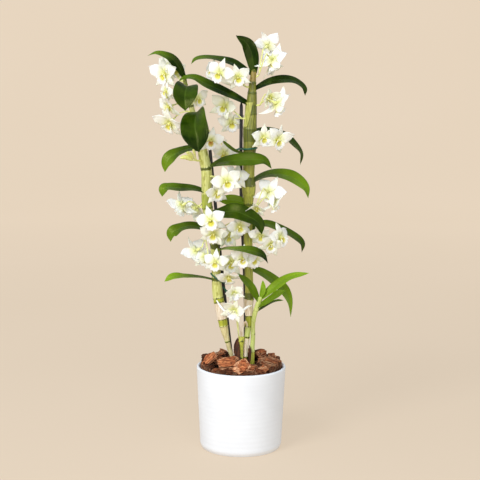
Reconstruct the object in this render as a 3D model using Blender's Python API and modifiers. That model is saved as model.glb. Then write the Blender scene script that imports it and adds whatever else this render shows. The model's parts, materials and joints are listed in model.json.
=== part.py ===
"""Potted bamboo orchid: two flowering canes tied to stakes, in a white pot topped with bark.

Metres, +Z up, with -Y as the front. The origin is the centre of the pot's flat underside.
Places of stems, leaves and blooms are listed in millimetres.
"""

import math
import random

import bmesh
import bpy
from mathutils import Matrix, Vector

MM = 0.001
GAP = 0.3 * MM  # left between pieces that rest on each other
SHARP_FROM = 35  # degrees between faces, above which an edge is drawn sharp

# Pot: a plain thrown cylinder that tapers a little to its foot
POT_HEIGHT = 121 * MM
POT_RIM_RADIUS = 65 * MM
POT_BASE_RADIUS = 59.6 * MM
POT_FOOT_RADIUS = 57.5 * MM
POT_FOOT_HEIGHT = 5.5 * MM
POT_WALL = 4.5 * MM
POT_FLOOR = 6 * MM
POT_STEPS = 32

# Bark: a low mound of growing medium with big chips heaped on it
BED_EDGE_HEIGHT = 112 * MM
BED_CROWN_HEIGHT = 128 * MM
ROOM_ABOVE = 60 * MM  # the bark may stand this far above the rim, straight up from the mouth
CHIP_RINGS = [(9, 47 * MM, 119 * MM), (6, 30 * MM, 127 * MM), (2, 12 * MM, 130 * MM)]
CHIP_SIZE = (17 * MM, 12 * MM, 7.5 * MM)  # half length, half width, half thickness
CHIP_TILT = 0.33
CHIP_SEED = 11

# Stems: x, y, z and radius in mm, from the end in the bark to the top
CANES = {
    "right": [
        (5, 0, 100, 2.6), (6, 0, 133, 2.9), (7, 0, 152, 3.4), (9, 0, 170, 4.0), (11, 0, 193, 5.1),
        (10, 0, 210, 6.3), (11, 0, 223, 6.7), (11, 0, 236, 5.9), (9, 0, 306, 6.2), (9, 0, 357, 6.6),
        (9.5, 0, 376, 9.4), (9, 0, 388, 9.8), (9, 0, 401, 8.2), (10, 0, 429, 8.7), (10.5, 0, 447, 9.2),
        (10.5, 0, 462, 9.5), (12, 0, 486, 7.9), (13, 0, 508, 7.0), (13.5, 0, 520, 5.7),
        (14, 0, 534, 4.6), (16, 0, 549, 3.4),
    ],
    "left": [
        (-11, 0, 100, 2.6), (-13, 0, 130, 2.9), (-17, 0, 144, 3.2), (-20, 0, 156, 3.6), (-24, 0, 171, 5.4),
        (-27, 0, 186, 6.6), (-30, 0, 203, 7.2), (-35, 0, 229, 7.3), (-37, 0, 262, 6.2), (-39, 0, 297, 6.5),
        (-45, 0, 330, 6.8), (-50, 0, 356, 7.4), (-51, 0, 380, 7.2), (-51, 0, 404, 7.7), (-54, 0, 420, 7.5),
        (-58, 0, 440, 6.5), (-62, 0, 458, 5.1), (-68, 0, 480, 3.8), (-73, 0, 497, 3.6), (-78, 0, 514, 3.3),
        (-81, 0, 527, 2.9), (-82, 0, 540, 2.2),
    ],
    "shoot": [
        (16, 0, 104, 2.8), (16, 0, 126, 3.5), (16, 0, 144, 3.5), (17, -1, 163, 3.2), (17, -3, 184, 3.2),
        (20, -6, 201, 3.4), (24, -9, 214, 3.7), (28, -12, 225, 3.2),
    ],
    "stub": [(0, -4, 106, 2.4), (0, -4, 130, 2.8), (0, -4, 148, 3.0), (0, -4, 158, 4.4), (0, -4, 165, 4.2)],
}
CANE_ROUNDNESS = {"right": 2, "left": 2, "shoot": 1, "stub": 1}

STAKE_RADIUS = 2.4 * MM
STAKES = {
    "right": [(6, 9, 90), (5, 9, 228), (-1.5, 9, 371), (-2, 9, 502)],
    "left": [(-9, 7, 90), (-25, 7, 225), (-38.5, 7, 356), (-49, 7, 461)],
}

# Ties: the height at the middle of the loop, and its rise for each unit of x
TIE_RADIUS = 1.1 * MM
TIE_CLEARANCE = 0.4 * MM
TIE_POINTS = 16
TIES = {"right": (437 * MM, 0.08), "left": (247 * MM, -0.75)}

# Leaves: carrying stem, half width in mm, where the upper side looks at the base and at the
# tip, and the middle line in mm from the stem's own middle to the tip
LEAF_THICKNESS = 0.9 * MM
LEAF_FOLD = 0.22  # how far the edges rise above the midrib, for each unit of half width
LEAF_ROWS = 5
LEAF_WIDEST = 0.4  # share of the length at which a leaf is widest
LEAF_NARROWING = 0.62  # share of the width that is gone at the base
LEAF_BLUNTNESS = 2.6
LEAVES = {
    "leaf_right_1": ("right", 10, (-0.3, -1, 0.2), (-0.2, -1, 0.5),
                     [(16, 0, 543), (13, 2, 568), (6, 4, 584), (-10, 2, 596)]),
    "leaf_right_2": ("right", 8.5, (0.1, -0.6, 0.8), (-0.3, -0.3, 0.95),
                     [(14, 0, 541), (-3, 3, 552), (-17, 4, 559), (-35, 5, 563), (-52, 4, 565),
                      (-66, 2, 563), (-73, 0, 556)]),
    "leaf_right_3": ("right", 8.5, (-0.1, -0.6, 0.8), (0.6, -0.5, 0.6),
                     [(14, 0, 520), (36, 0, 531), (56, -2, 535), (73, -3, 533), (86, -4, 524),
                      (88, -5, 513)]),
    "leaf_right_4": ("right", 9, (0.2, -0.7, 0.7), (-0.1, -0.5, 0.9),
                     [(13, 0, 498), (-10, -6, 510), (-32, -8, 520), (-52, -9, 529), (-68, -10, 537),
                      (-82, -9, 537), (-90, -7, 532)]),
    "leaf_right_5": ("right", 8.5, (0, -0.3, 1), (0.8, -0.5, 0.4),
                     [(11, 0, 462), (36, 5, 464), (59, 8, 456), (74, 9, 443), (84, 9, 430), (83, 8, 414)]),
    "leaf_right_6": ("right", 7, (-0.2, 0.1, 1), (-0.7, 0, 0.7),
                     [(10, 0, 430), (-9, -5, 433), (-23, -8, 443), (-33, -8, 454)]),
    "leaf_right_7": ("right", 12.5, (-0.3, -0.1, 1), (0.7, -0.8, 0.4),
                     [(9, 0, 385), (28, 6, 396), (48, 8, 400), (71, 8, 396), (90, 8, 382), (95, 7, 366)]),
    "leaf_right_8": ("right", 8, (0, -1, 0.4), (0, -1, 0.4),
                     [(9, 0, 358), (-9, -3, 363), (-22, -4, 364), (-36, -4, 365)]),
    "leaf_right_9": ("right", 9, (0, -0.45, 1), (0.8, -0.5, 0.4),
                     [(9, 0, 320), (32, 8, 328), (52, 11, 322), (72, 13, 312), (87, 13, 300),
                      (87, 12, 286)]),
    "leaf_right_10": ("right", 10, (0.4, -0.6, 0.8), (0.8, -0.7, 0.2),
                      [(9, 0, 266), (30, 8, 256), (48, 13, 243), (62, 13, 230), (70, 12, 213),
                       (72, 10, 191)]),
    "leaf_left_1": ("left", 7, (-0.4, -0.7, 0.6), (-0.3, -0.5, 0.9),
                    [(-82, 0, 536), (-90, -3, 552), (-100, -5, 563), (-109, -6, 568), (-122, -7, 571),
                     (-134, -7, 567)]),
    "leaf_left_2": ("left", 17, (0.2, 0.2, 1), (0, -1, 0.2),
                    [(-79, 0, 518), (-78, -14, 525), (-78, -31, 524), (-80, -45, 511), (-79, -53, 493)]),
    "leaf_left_3": ("left", 19.5, (-0.5, 0.2, 1), (0, -1, 0.2),
                    [(-66, 0, 477), (-64, -14, 489), (-65, -30, 487), (-66, -45, 472), (-63, -55, 454),
                     (-60, -60, 437)]),
    "leaf_left_4": ("left", 10, (0, -0.5, 0.9), (-0.5, -1, 0.2),
                    [(-58, 0, 434), (-72, -2, 437), (-88, -4, 433), (-101, -6, 426), (-108, -8, 416),
                     (-110, -8, 404)]),
    "leaf_left_5": ("left", 10, (0, -0.45, 0.9), (-0.5, -0.9, 0.3),
                    [(-51, 0, 375), (-70, -3, 380), (-89, -6, 381), (-105, -8, 382), (-112, -9, 379),
                     (-114, -9, 369)]),
    "leaf_left_6": ("left", 10, (0.1, -0.5, 0.9), (-0.6, -0.8, 0.2),
                    [(-43, 0, 317), (-62, -3, 325), (-79, -6, 326), (-93, -7, 321), (-101, -8, 315),
                     (-102, -9, 304)]),
    "leaf_left_7": ("left", 7.5, (0, -0.15, 1), (-0.2, -0.8, 0.6),
                    [(-36, 0, 246), (-58, -3, 251), (-80, -6, 253), (-99, -8, 253), (-111, -9, 246)]),
    "leaf_left_8": ("left", 12, (0.1, -0.6, 0.8), (0.3, -0.7, 0.6),
                    [(-51, 0, 409), (-33, -16, 418), (-12, -26, 422), (11, -31, 424), (30, -33, 423),
                     (41, -33, 412)]),
    "leaf_left_9": ("left", 13, (0, -0.7, 0.7), (0.4, -0.8, 0.5),
                    [(-47, 0, 343), (-28, -18, 348), (-9, -27, 350), (11, -32, 343), (24, -34, 334),
                     (28, -35, 319)]),
    "leaf_left_10": ("left", 9, (-0.1, -0.3, 1), (0.6, -0.6, 0.5),
                     [(-38, 0, 287), (-28, -13, 294), (-10, -35, 298), (10, -46, 298), (28, -44, 292),
                      (37, -42, 279)]),
    "leaf_shoot_1": ("shoot", 7, (0.5, -0.8, 0.4), (-0.2, -0.6, 0.8),
                     [(25, -10, 218), (15, -20, 238), (6, -26, 250), (-6, -31, 262)]),
    "leaf_shoot_2": ("shoot", 8, (-0.4, -0.7, 0.7), (-0.1, -0.6, 0.9),
                     [(26.5, -11, 221), (49, -8, 240), (70, -6, 253), (97, -6, 259)]),
    "leaf_shoot_3": ("shoot", 7, (-0.4, -0.6, 0.7), (-0.4, -0.6, 0.7),
                     [(23, -8, 209), (41, -25, 224), (52, -31, 233), (63, -33, 239)]),
    "leaf_shoot_4": ("shoot", 4, (-0.2, -1, 0), (-0.2, -1, 0.2),
                     [(27.5, -13, 223), (31, -10, 236), (30.5, -6, 248)]),
    "leaf_shoot_5": ("shoot", 4, (-0.4, -0.3, 1), (0.3, -0.3, 1),
                     [(20, -5, 200), (35, -2, 210), (50, -2, 217), (61, -2, 218)]),
}
YOUNG_LEAVES = ("leaf_left_7", "leaf_shoot_2", "leaf_shoot_3", "leaf_shoot_4")

# Sprays: carrying stem, height of the stem's node in mm, the side on which they leave it, and
# for each bloom x, y, z in mm, its turn from the front to the right and its tilt upwards in
# degrees, and its size
SPRAYS = {
    "spray_left_1": ("left", 531, (-1, 0.3, 0.3),
                     [(-110, 10, 542, -40, -5, 1.12), (-109, 24, 550, -35, 10, 0.95),
                      (-96, 14, 547, 10, -10, 0.8)]),
    "spray_left_2": ("left", 512, (-1, 0.1, 0.2),
                     [(-107, -13, 518, -50, -10, 0.72), (-106, 14, 509, -70, -20, 0.76)]),
    "spray_left_3": ("left", 488, (-1, 0, 0.2),
                     [(-104, 0, 496, -50, -15, 1.05), (-102, -6, 474, -40, -35, 1.15)]),
    "spray_left_4": ("left", 503, (0.6, 0.8, 0), [(-65, 18, 506, 30, 5, 0.86)]),
    "spray_left_5": ("left", 468, (1, 0.7, 0.5),
                     [(-45, -14, 449, 10, 0, 0.92), (-26, 22, 429, -10, -20, 0.97)]),
    "spray_left_7": ("left", 398, (0.8, -0.7, 0),
                     [(-22, -32, 393, 5, 5, 1.08), (-9, -19, 399, 30, 20, 0.94),
                      (-36, -18, 376, 15, -20, 0.88)]),
    "spray_left_8": ("left", 352, (-1, -0.1, 0.1),
                     [(-85, -10, 357, -135, -25, 1.1), (-65, 6, 352, -130, -30, 1.0)]),
    "spray_left_9": ("left", 332, (0.1, -1, 0),
                     [(-44, -28, 337, -10, 10, 1.08), (-40, -22, 318, -5, -15, 1.0)]),
    "spray_left_10": ("left", 322, (0.9, -0.5, 0),
                      [(-21, -8, 313, 30, -10, 0.97), (-4, -19, 329, 15, -20, 0.97)]),
    "spray_left_11": ("left", 308, (-1, -0.2, -0.1),
                      [(-65, -2, 290, -140, -30, 1.1), (-52, -11, 283, -160, -30, 0.95)]),
    "spray_left_12": ("left", 278, (0.6, -0.8, 0),
                      [(-37, -30, 278, -10, 0, 0.92), (-16, -13, 275, 20, -10, 1.03),
                       (-19, -20, 256, 10, -40, 0.92)]),
    "spray_right_1": ("right", 536, (1, 0, 0.6),
                      [(34, 2, 582, 150, 25, 1.0), (41, -6, 564, 142, -25, 1.15),
                       (38, 14, 553, 60, -40, 0.9)]),
    "spray_right_2": ("right", 523, (-1, -0.3, 0.2),
                      [(-32, -19, 544, -20, -5, 1.03), (-7, -15, 538, 0, -5, 0.92),
                       (-42, 14, 545, -50, 10, 0.86)]),
    "spray_right_3": ("right", 498, (1, -0.3, 0.1),
                      [(47, -18, 502, 125, -25, 1.25), (37, -14, 511, 30, -20, 0.8)]),
    "spray_right_4": ("right", 480, (-1, -0.4, 0),
                      [(-25, 18, 495, -20, 10, 1.03), (-16, 21, 473, 0, -10, 0.97)]),
    "spray_right_5": ("right", 442, (1, -0.4, 0),
                      [(29, -16, 454, 20, 0, 0.92), (49, -12, 451, 40, -5, 1.03)]),
    "spray_right_6": ("right", 352, (1, -0.6, 0),
                      [(37, -14, 378, 150, -20, 1.12), (44, -12, 362, 115, -35, 1.05),
                       (21, -18, 355, -10, -40, 0.75)]),
    "spray_right_7": ("right", 308, (1, -0.3, 0),
                      [(54, -8, 311, 50, 0, 1.03), (41, -14, 302, 20, -15, 0.92),
                       (26, -16, 315, 0, -20, 0.86)]),
    "spray_right_8": ("right", 272, (-0.1, -1, 0),
                      [(2, -27, 283, 0, 0, 0.95), (16, -23, 283, 30, -10, 1.0)]),
    "spray_stub": ("stub", 162, (-0.5, -1, 0.6),
                   [(-11, -20, 231, 10, 5, 0.75), (-10, -24, 207, -15, 0, 0.95)]),
}

# Buds on one short spray: x, y, z in mm of the tip, and length in mm
BUD_SPRAY = ("left", 420, (-1, -0.6, 0), [(-88, -18, 425, 19), (-79, -20, 433, 16), (-70, -14, 437, 11)])
BUD_THICKNESS = 0.17  # radius of a bud for each unit of its length

# Husk: a dry sheath that stands up from the bark, with its middle line in mm
HUSK_PATH = [(-6, -9, 116), (-6, -8, 140), (-7, -7, 152), (-5, -6, 163)]
HUSK_HALF_WIDTH = 4.5 * MM
HUSK_THICKNESS = 1.2 * MM
HUSK_FOLD = 0.35
HUSK_ROWS = 4

# Bloom, in mm. Its sepals and petals are cut in one thin sheet round a small middle. Each has its
# angle from straight up in degrees, its length, its half width, and rows of share of the
# length, share of the half width and how far forward, ending with how far forward the tip is
SEPAL_ROWS = [(0.52, 1.0, 0.8)]
PETAL_ROWS = [(0.42, 0.85, 2.2), (0.78, 0.9, 3.4)]
TEPALS = [
    (-127, 20, 5.6, SEPAL_ROWS, -2),
    (-64, 19, 8.6, PETAL_ROWS, 1.5),
    (0, 20, 5.6, SEPAL_ROWS, -2),
    (64, 19, 8.6, PETAL_ROWS, 1.5),
    (127, 20, 5.6, SEPAL_ROWS, -2),
]
NOTCH_RADIUS = 4.6
TEPAL_THICKNESS = 0.75 * MM
PETAL_WAVE = 0.9  # the upper edge of a petal comes this much further forward than its lower edge
OVARY = (3, 2.2)  # how far behind the sheet, and the radius there
PEDICEL_START = 11  # how far behind the sheet the ovary has thinned to the pedicel
COLUMN = (3.6, 2.0)  # how far in front of the sheet, and the radius there
LIP_START = 1.9
LIP_LENGTH = 12.5
LIP_THROAT_RADIUS = 1.3
LIP_FLARE = 6.6
LIP_HALF_ANGLE = 116  # degrees on each side of the lowest line of the lip
LIP_DROP = 34  # degrees below straight ahead
PEDICEL_RADIUS = 0.9 * MM
PEDICEL_BEND = 0.3  # share of the way to the stem at which the pedicel bends
PEDICEL_LIFT = 2 * MM
PEDUNCLE_RADIUS = 1.5 * MM
PEDUNCLE_REACH = 5 * MM  # past the stem's surface
PEDICEL_BURIED = 1 * MM  # how far a pedicel starts inside the end of the peduncle


def clear_scene():
    """Takes away every object and collection that is already there."""
    for thing in list(bpy.data.objects):
        bpy.data.objects.remove(thing, do_unlink=True)
    for group in list(bpy.data.collections):
        bpy.data.collections.remove(group)


def new_collection(name):
    group = bpy.data.collections.new(name)
    bpy.context.scene.collection.children.link(group)
    return group


def finish(name, colour, roughness):
    """A plain Principled material."""
    made = bpy.data.materials.get(name)
    if made:
        return made
    made = bpy.data.materials.new(name)
    made.use_nodes = True
    shader = made.node_tree.nodes["Principled BSDF"]
    shader.inputs["Base Color"].default_value = (*colour, 1)
    shader.inputs["Roughness"].default_value = roughness
    shader.inputs["Metallic"].default_value = 0
    made.diffuse_color = (*colour, 1)
    return made


def place_mesh(name, mesh, group, look=None):
    """An object for a mesh, in a collection, with a material."""
    thing = bpy.data.objects.new(name, mesh)
    group.objects.link(thing)
    if look:
        mesh.materials.clear()
        mesh.materials.append(look)
    return thing


def hide_as_cutter(thing):
    thing.hide_render = True
    thing.display_type = "WIRE"
    return thing


def bmesh_object(name, bm, group, look=None):
    mesh = bpy.data.meshes.new(name)
    bm.to_mesh(mesh)
    bm.free()
    return place_mesh(name, mesh, group, look)


def frozen(thing):
    """The object's evaluated mesh, with its modifiers applied."""
    graph = bpy.context.evaluated_depsgraph_get()
    return bpy.data.meshes.new_from_object(thing.evaluated_get(graph))


def boolean(thing, operation, other):
    """Adds a Boolean with one object or a whole collection."""
    modifier = thing.modifiers.new(operation.lower(), "BOOLEAN")
    modifier.operation = operation
    modifier.solver = "EXACT"
    if isinstance(other, bpy.types.Collection):
        modifier.operand_type = "COLLECTION"
        modifier.collection = other
    else:
        modifier.object = other


def applied(thing):
    """Keeps the result of the object's modifiers as its mesh."""
    mesh = frozen(thing)
    thing.modifiers.clear()
    thing.data = mesh


def fuse(base, loose):
    """Joins everything in the loose collection to the base as one body, and empties it."""
    boolean(base, "UNION", loose)
    applied(base)
    for thing in list(loose.objects):
        bpy.data.objects.remove(thing, do_unlink=True)


def soften(thing):
    """Smooth shading with sharp edges kept."""
    thing.data.shade_smooth()
    thing.data.set_sharp_from_angle(angle=math.radians(SHARP_FROM))


def point_along(path, share):
    """A point on the smooth curve through the path's points, share going from 0 to 1."""
    last = len(path) - 1
    at = min(max(share, 0), 1) * last
    k = min(int(at), last - 1)
    t = at - k
    p1, p2 = path[k], path[k + 1]
    p0 = path[k - 1] if k > 0 else p1 * 2 - p2
    p3 = path[k + 2] if k + 2 <= last else p2 * 2 - p1
    square = 2 * p0 - 5 * p1 + 4 * p2 - p3
    cube = 3 * p1 - p0 - 3 * p2 + p3
    return 0.5 * (2 * p1 + (p2 - p0) * t + square * t**2 + cube * t**3)


def tube(name, points, radii, roundness, group, look=None):
    """A closed tube with its own radius at each point, made as a curve and kept as a mesh."""
    curve = bpy.data.curves.new(name, "CURVE")
    curve.dimensions = "3D"
    curve.bevel_depth = 1
    curve.bevel_resolution = roundness
    curve.use_fill_caps = True
    spline = curve.splines.new("POLY")
    spline.points.add(len(points) - 1)
    for knot, point, radius in zip(spline.points, points, radii):
        knot.co = (*point, 1)
        knot.radius = radius
    guide = bpy.data.objects.new(name + "_line", curve)
    group.objects.link(guide)
    mesh = frozen(guide)
    bpy.data.objects.remove(guide, do_unlink=True)
    bm = bmesh.new()
    bm.from_mesh(mesh)
    bmesh.ops.remove_doubles(bm, verts=bm.verts, dist=1e-6)
    bm.to_mesh(mesh)
    bm.free()
    return place_mesh(name, mesh, group, look)


def stem(name, rows, grow, roundness, group, look=None):
    """A stem from its table, or with grow its clearance, wider and longer by that much."""
    points = [Vector(row[:3]) * MM for row in rows]
    points[0] -= Vector((0, 0, grow))
    points[-1] += Vector((0, 0, grow))
    radii = [row[3] * MM + grow for row in rows]
    return tube(name, points, radii, roundness, group, look)


def stem_at(rows, height):
    """The middle and the radius of a stem at a height."""
    for low, high in zip(rows, rows[1:]):
        if low[2] * MM <= height <= high[2] * MM:
            t = (height / MM - low[2]) / (high[2] - low[2])
            x, y, z, radius = (a + (b - a) * t for a, b in zip(low, high))
            return Vector((x, y, z)) * MM, radius * MM
    raise ValueError("height is off the stem")


def leaf_outline(s):
    """Half width of a strap leaf for each unit of its greatest, from base to tip."""
    if s < LEAF_WIDEST:
        return 1 - LEAF_NARROWING * (1 - s / LEAF_WIDEST) ** 2
    return 1 - ((s - LEAF_WIDEST) / (1 - LEAF_WIDEST)) ** LEAF_BLUNTNESS


def blade(name, path, half_width, look_base, look_tip, fold, rows, thickness, group, look):
    """A thin folded blade along a path. Each row runs from edge to midrib to edge."""
    bm = bmesh.new()
    bmesh.ops.create_grid(bm, x_segments=2, y_segments=rows, size=1)
    step = 0.02
    for vert in bm.verts:
        across = vert.co.x
        s = (vert.co.y + 1) / 2
        tangent = (point_along(path, s + step) - point_along(path, s - step)).normalized()
        facing = look_base.lerp(look_tip, s)
        side = tangent.cross(facing).normalized()
        upper = side.cross(tangent).normalized()
        reach = half_width * leaf_outline(s)
        vert.co = point_along(path, s) + side * across * reach + upper * abs(across) * fold * reach
    bmesh.ops.remove_doubles(bm, verts=bm.verts, dist=1e-6)
    bmesh.ops.triangulate(bm, faces=bm.faces)
    thing = bmesh_object(name, bm, group, look)
    shell = thing.modifiers.new("thickness", "SOLIDIFY")
    shell.thickness = thickness
    shell.offset = 0
    return thing


def turned(name, profile, group, look=None):
    """A solid of revolution about Z. The profile runs down its outer side, top to bottom."""
    bm = bmesh.new()
    verts = [bm.verts.new((x, 0, z)) for x, z in profile]
    for a, b in zip(verts, verts[1:]):
        bm.edges.new((a, b))
    thing = bmesh_object(name, bm, group, look)
    turn = thing.modifiers.new("turn", "SCREW")
    turn.steps = POT_STEPS
    turn.render_steps = POT_STEPS
    turn.use_merge_vertices = True
    turn.merge_threshold = 0.00001
    turn.use_normal_calculate = True
    return thing


def make_pot(group):
    """The pot: floor, inner wall, rounded rim, outer wall and chamfered foot."""
    rim = POT_WALL / 2
    profile = [(0, POT_FLOOR), (POT_BASE_RADIUS - POT_WALL, POT_FLOOR)]
    for k in range(5):
        angle = math.pi * (1 - k / 4)
        out = POT_RIM_RADIUS - rim + rim * math.cos(angle)
        profile.append((out, POT_HEIGHT - rim + rim * math.sin(angle)))
    profile += [
        (POT_BASE_RADIUS, POT_FOOT_HEIGHT),
        (POT_FOOT_RADIUS + 1 * MM, 1.5 * MM),
        (POT_FOOT_RADIUS - 1 * MM, 0),
        (0, 0),
    ]
    return turned("pot", profile, group, finish("white ceramic", (0.9, 0.89, 0.87), 0.45))


def bark_chip(name, centre, turn, draw, group):
    """One broken chip: a block with its corners pushed about, tilted and turned."""
    bm = bmesh.new()
    bmesh.ops.create_cube(bm, size=2)
    scale = draw.uniform(0.8, 1.15)
    for vert in bm.verts:
        pushed = [half * scale * side * draw.uniform(0.62, 1.0) for half, side in zip(CHIP_SIZE, vert.co)]
        vert.co = Vector(pushed)
    bmesh.ops.triangulate(bm, faces=bm.faces)
    roll = Matrix.Rotation(draw.uniform(-CHIP_TILT, CHIP_TILT), 4, "X")
    pitch = Matrix.Rotation(draw.uniform(-CHIP_TILT, CHIP_TILT), 4, "Y")
    bm.transform(Matrix.Translation(centre) @ Matrix.Rotation(turn, 4, "Z") @ roll @ pitch)
    return bmesh_object(name, bm, group)


def make_bark(group, loose, room, holes):
    """Growing medium that fills the pot, with chips fused on top and plain holes for the stems."""
    profile = [
        (0, BED_CROWN_HEIGHT),
        (POT_RIM_RADIUS, BED_EDGE_HEIGHT),
        (POT_RIM_RADIUS, POT_FLOOR + GAP),
        (0, POT_FLOOR + GAP),
    ]
    bed = turned("bark_bed", profile, group)
    draw = random.Random(CHIP_SEED)
    for ring, (count, distance, height) in enumerate(CHIP_RINGS):
        for k in range(count):
            angle = 2 * math.pi * (k + 0.5 * ring) / count + draw.uniform(-0.1, 0.1)
            out = distance + draw.uniform(-2.5, 2.5) * MM
            rise = height + draw.uniform(-2, 3) * MM
            centre = Vector((out * math.cos(angle), out * math.sin(angle), rise))
            bark_chip("chip", centre, angle + draw.uniform(0.7, 2.4), draw, loose)
    fuse(bed, loose)
    boolean(bed, "INTERSECT", room)
    applied(bed)
    boolean(bed, "DIFFERENCE", holes)
    bed.data.materials.clear()
    bed.data.materials.append(finish("bark", (0.36, 0.17, 0.09), 0.85))
    return bed


def make_bed_room(group):
    """The space inside the pot, carried on straight up, which the bark stays within."""
    top = POT_HEIGHT + ROOM_ABOVE
    mouth = POT_RIM_RADIUS - POT_WALL - GAP
    base = POT_BASE_RADIUS - POT_WALL - GAP
    shoulder = POT_HEIGHT - POT_WALL / 2
    profile = [(0, top), (mouth, top), (mouth, shoulder), (base, POT_FLOOR), (0, POT_FLOOR)]
    return hide_as_cutter(turned("bed_room", profile, group))


def make_tie(side, group):
    """A closed wire loop pulled round a cane and its stake."""
    height, rise = TIES[side]
    stake_rows = [(*place, STAKE_RADIUS / MM) for place in STAKES[side]]
    middle = (stem_at(CANES[side], height)[0] + stem_at(stake_rows, height)[0]) / 2
    held = []
    for rows in (CANES[side], stake_rows):
        near = stem_at(rows, height)[0]
        held.append(stem_at(rows, height + rise * (near.x - middle.x)))
    points = []
    for k in range(TIE_POINTS):
        angle = 2 * math.pi * k / TIE_POINTS
        out = Vector((math.cos(angle), math.sin(angle), 0))
        ends = []
        for centre, radius in held:
            away = radius + TIE_RADIUS + TIE_CLEARANCE
            ends.append(centre + out * away)
        point = max(ends, key=out.dot)
        point.z = height + rise * (point.x - middle.x)
        points.append(point)
    curve = bpy.data.curves.new("tie_" + side, "CURVE")
    curve.dimensions = "3D"
    curve.bevel_depth = TIE_RADIUS
    curve.bevel_resolution = 0
    spline = curve.splines.new("POLY")
    spline.points.add(TIE_POINTS - 1)
    spline.use_cyclic_u = True
    for knot, point in zip(spline.points, points):
        knot.co = (*point, 1)
    tie = bpy.data.objects.new("tie_" + side, curve)
    group.objects.link(tie)
    curve.materials.append(finish("green wire", (0.01, 0.09, 0.06), 0.5))
    return tie


def bloom_frame(place, turn, tilt):
    """Places a bloom that was made at the origin, facing -Y with +Z up."""
    return (
        Matrix.Translation(place)
        @ Matrix.Rotation(math.radians(turn), 4, "Z")
        @ Matrix.Rotation(math.radians(-tilt), 4, "X")
    )


def drawn_out(bm, face, path, radii):
    """Extrudes a face along a path, each new ring round its own point with its own radius."""
    centre = face.calc_center_median()
    heading = face.normal.copy()
    for k, (point, radius) in enumerate(zip(path, radii)):
        onward = path[min(k + 1, len(path) - 1)] - (path[k - 1] if k else centre)
        swing = heading.rotation_difference(onward)
        offsets = [swing @ (vert.co - centre) for vert in face.verts]
        face = bmesh.ops.extrude_discrete_faces(bm, faces=[face])["faces"][0]
        for vert, offset in zip(face.verts, offsets):
            vert.co = point + offset.normalized() * radius
        centre = point
        heading = onward


def bloom_body(frame, size, root, loose):
    """Sepals and petals in one thin arched sheet. Its small five-cornered middle is drawn out
    backwards into the ovary and the pedicel, and forwards into the column."""
    bm = bmesh.new()

    def vert(angle, reach, aside, forward):
        turn = math.radians(angle)
        out = Vector((math.sin(turn), 0, math.cos(turn)))
        across = Vector((math.cos(turn), 0, -math.sin(turn)))
        place = out * reach + across * aside - Vector((0, forward, 0))
        return bm.verts.new(frame @ (place * MM * size))

    angles = [tepal[0] for tepal in TEPALS]
    gaps = [(a + b) / 2 for a, b in zip(angles, angles[1:])] + [180]
    notches = [vert(gap, NOTCH_RADIUS, 0, 0) for gap in gaps]
    bm.faces.new(notches)
    for k, (angle, length, half_width, rows, tip_forward) in enumerate(TEPALS):
        left, right = [notches[k - 1]], [notches[k]]
        up = math.copysign(PETAL_WAVE, angle) if len(rows) > 1 else 0
        for share, width, forward in rows:
            left.append(vert(angle, length * share, -half_width * width, forward + up))
            right.append(vert(angle, length * share, half_width * width, forward - up))
        tip = vert(angle, length, 0, tip_forward)
        if len(rows) == 1:
            bm.faces.new((left[0], left[1], tip))
            bm.faces.new((left[0], tip, right[0]))
            bm.faces.new((right[0], tip, right[1]))
            continue
        for j in range(len(rows)):
            bm.faces.new((left[j], left[j + 1], right[j + 1]))
            bm.faces.new((left[j], right[j + 1], right[j]))
        bm.faces.new((left[-1], tip, right[-1]))
    bmesh.ops.recalc_face_normals(bm, faces=bm.faces)
    bmesh.ops.solidify(bm, geom=bm.faces, thickness=TEPAL_THICKNESS)
    bmesh.ops.recalc_face_normals(bm, faces=bm.faces)
    bm.normal_update()
    ahead = frame.to_3x3() @ Vector((0, -1, 0))
    middles = [face for face in bm.faces if len(face.verts) == 5]
    middles.sort(key=lambda face: face.normal.dot(ahead))
    back, behind, front = [
        frame @ Vector((0, y * MM * size, 0)) for y in (OVARY[0], PEDICEL_START, -COLUMN[0])
    ]
    bend = behind.lerp(root, PEDICEL_BEND) + Vector((0, 0, PEDICEL_LIFT))
    drawn_out(bm, middles[0], [back, bend, root], [OVARY[1] * MM * size] + [PEDICEL_RADIUS] * 2)
    drawn_out(bm, middles[-1], [front], [COLUMN[1] * MM * size])
    bmesh.ops.recalc_face_normals(bm, faces=bm.faces)
    bmesh_object("bloom", bm, loose)


def bloom_lip(frame, size, loose):
    """The lip: a flared trough that opens upwards, with its narrow end in the column."""
    drop = math.radians(LIP_DROP)
    ahead = Vector((0, -math.cos(drop), -math.sin(drop)))
    upward = Vector((0, -math.sin(drop), math.cos(drop)))
    bm = bmesh.new()
    bmesh.ops.create_grid(bm, x_segments=3, y_segments=1, size=1)
    for vert in bm.verts:
        angle = math.radians(LIP_HALF_ANGLE) * vert.co.x
        s = (vert.co.y + 1) / 2
        ring = LIP_THROAT_RADIUS + LIP_FLARE * s
        round_it = Vector((math.sin(angle), 0, 0)) - upward * math.cos(angle)
        place = Vector((0, -LIP_START, 0)) + ahead * LIP_LENGTH * s + round_it * ring
        vert.co = frame @ (place * MM * size)
    bmesh.ops.triangulate(bm, faces=bm.faces)
    lip = bmesh_object("lip", bm, loose)
    shell = lip.modifiers.new("thickness", "SOLIDIFY")
    shell.thickness = TEPAL_THICKNESS
    shell.offset = 0


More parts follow.
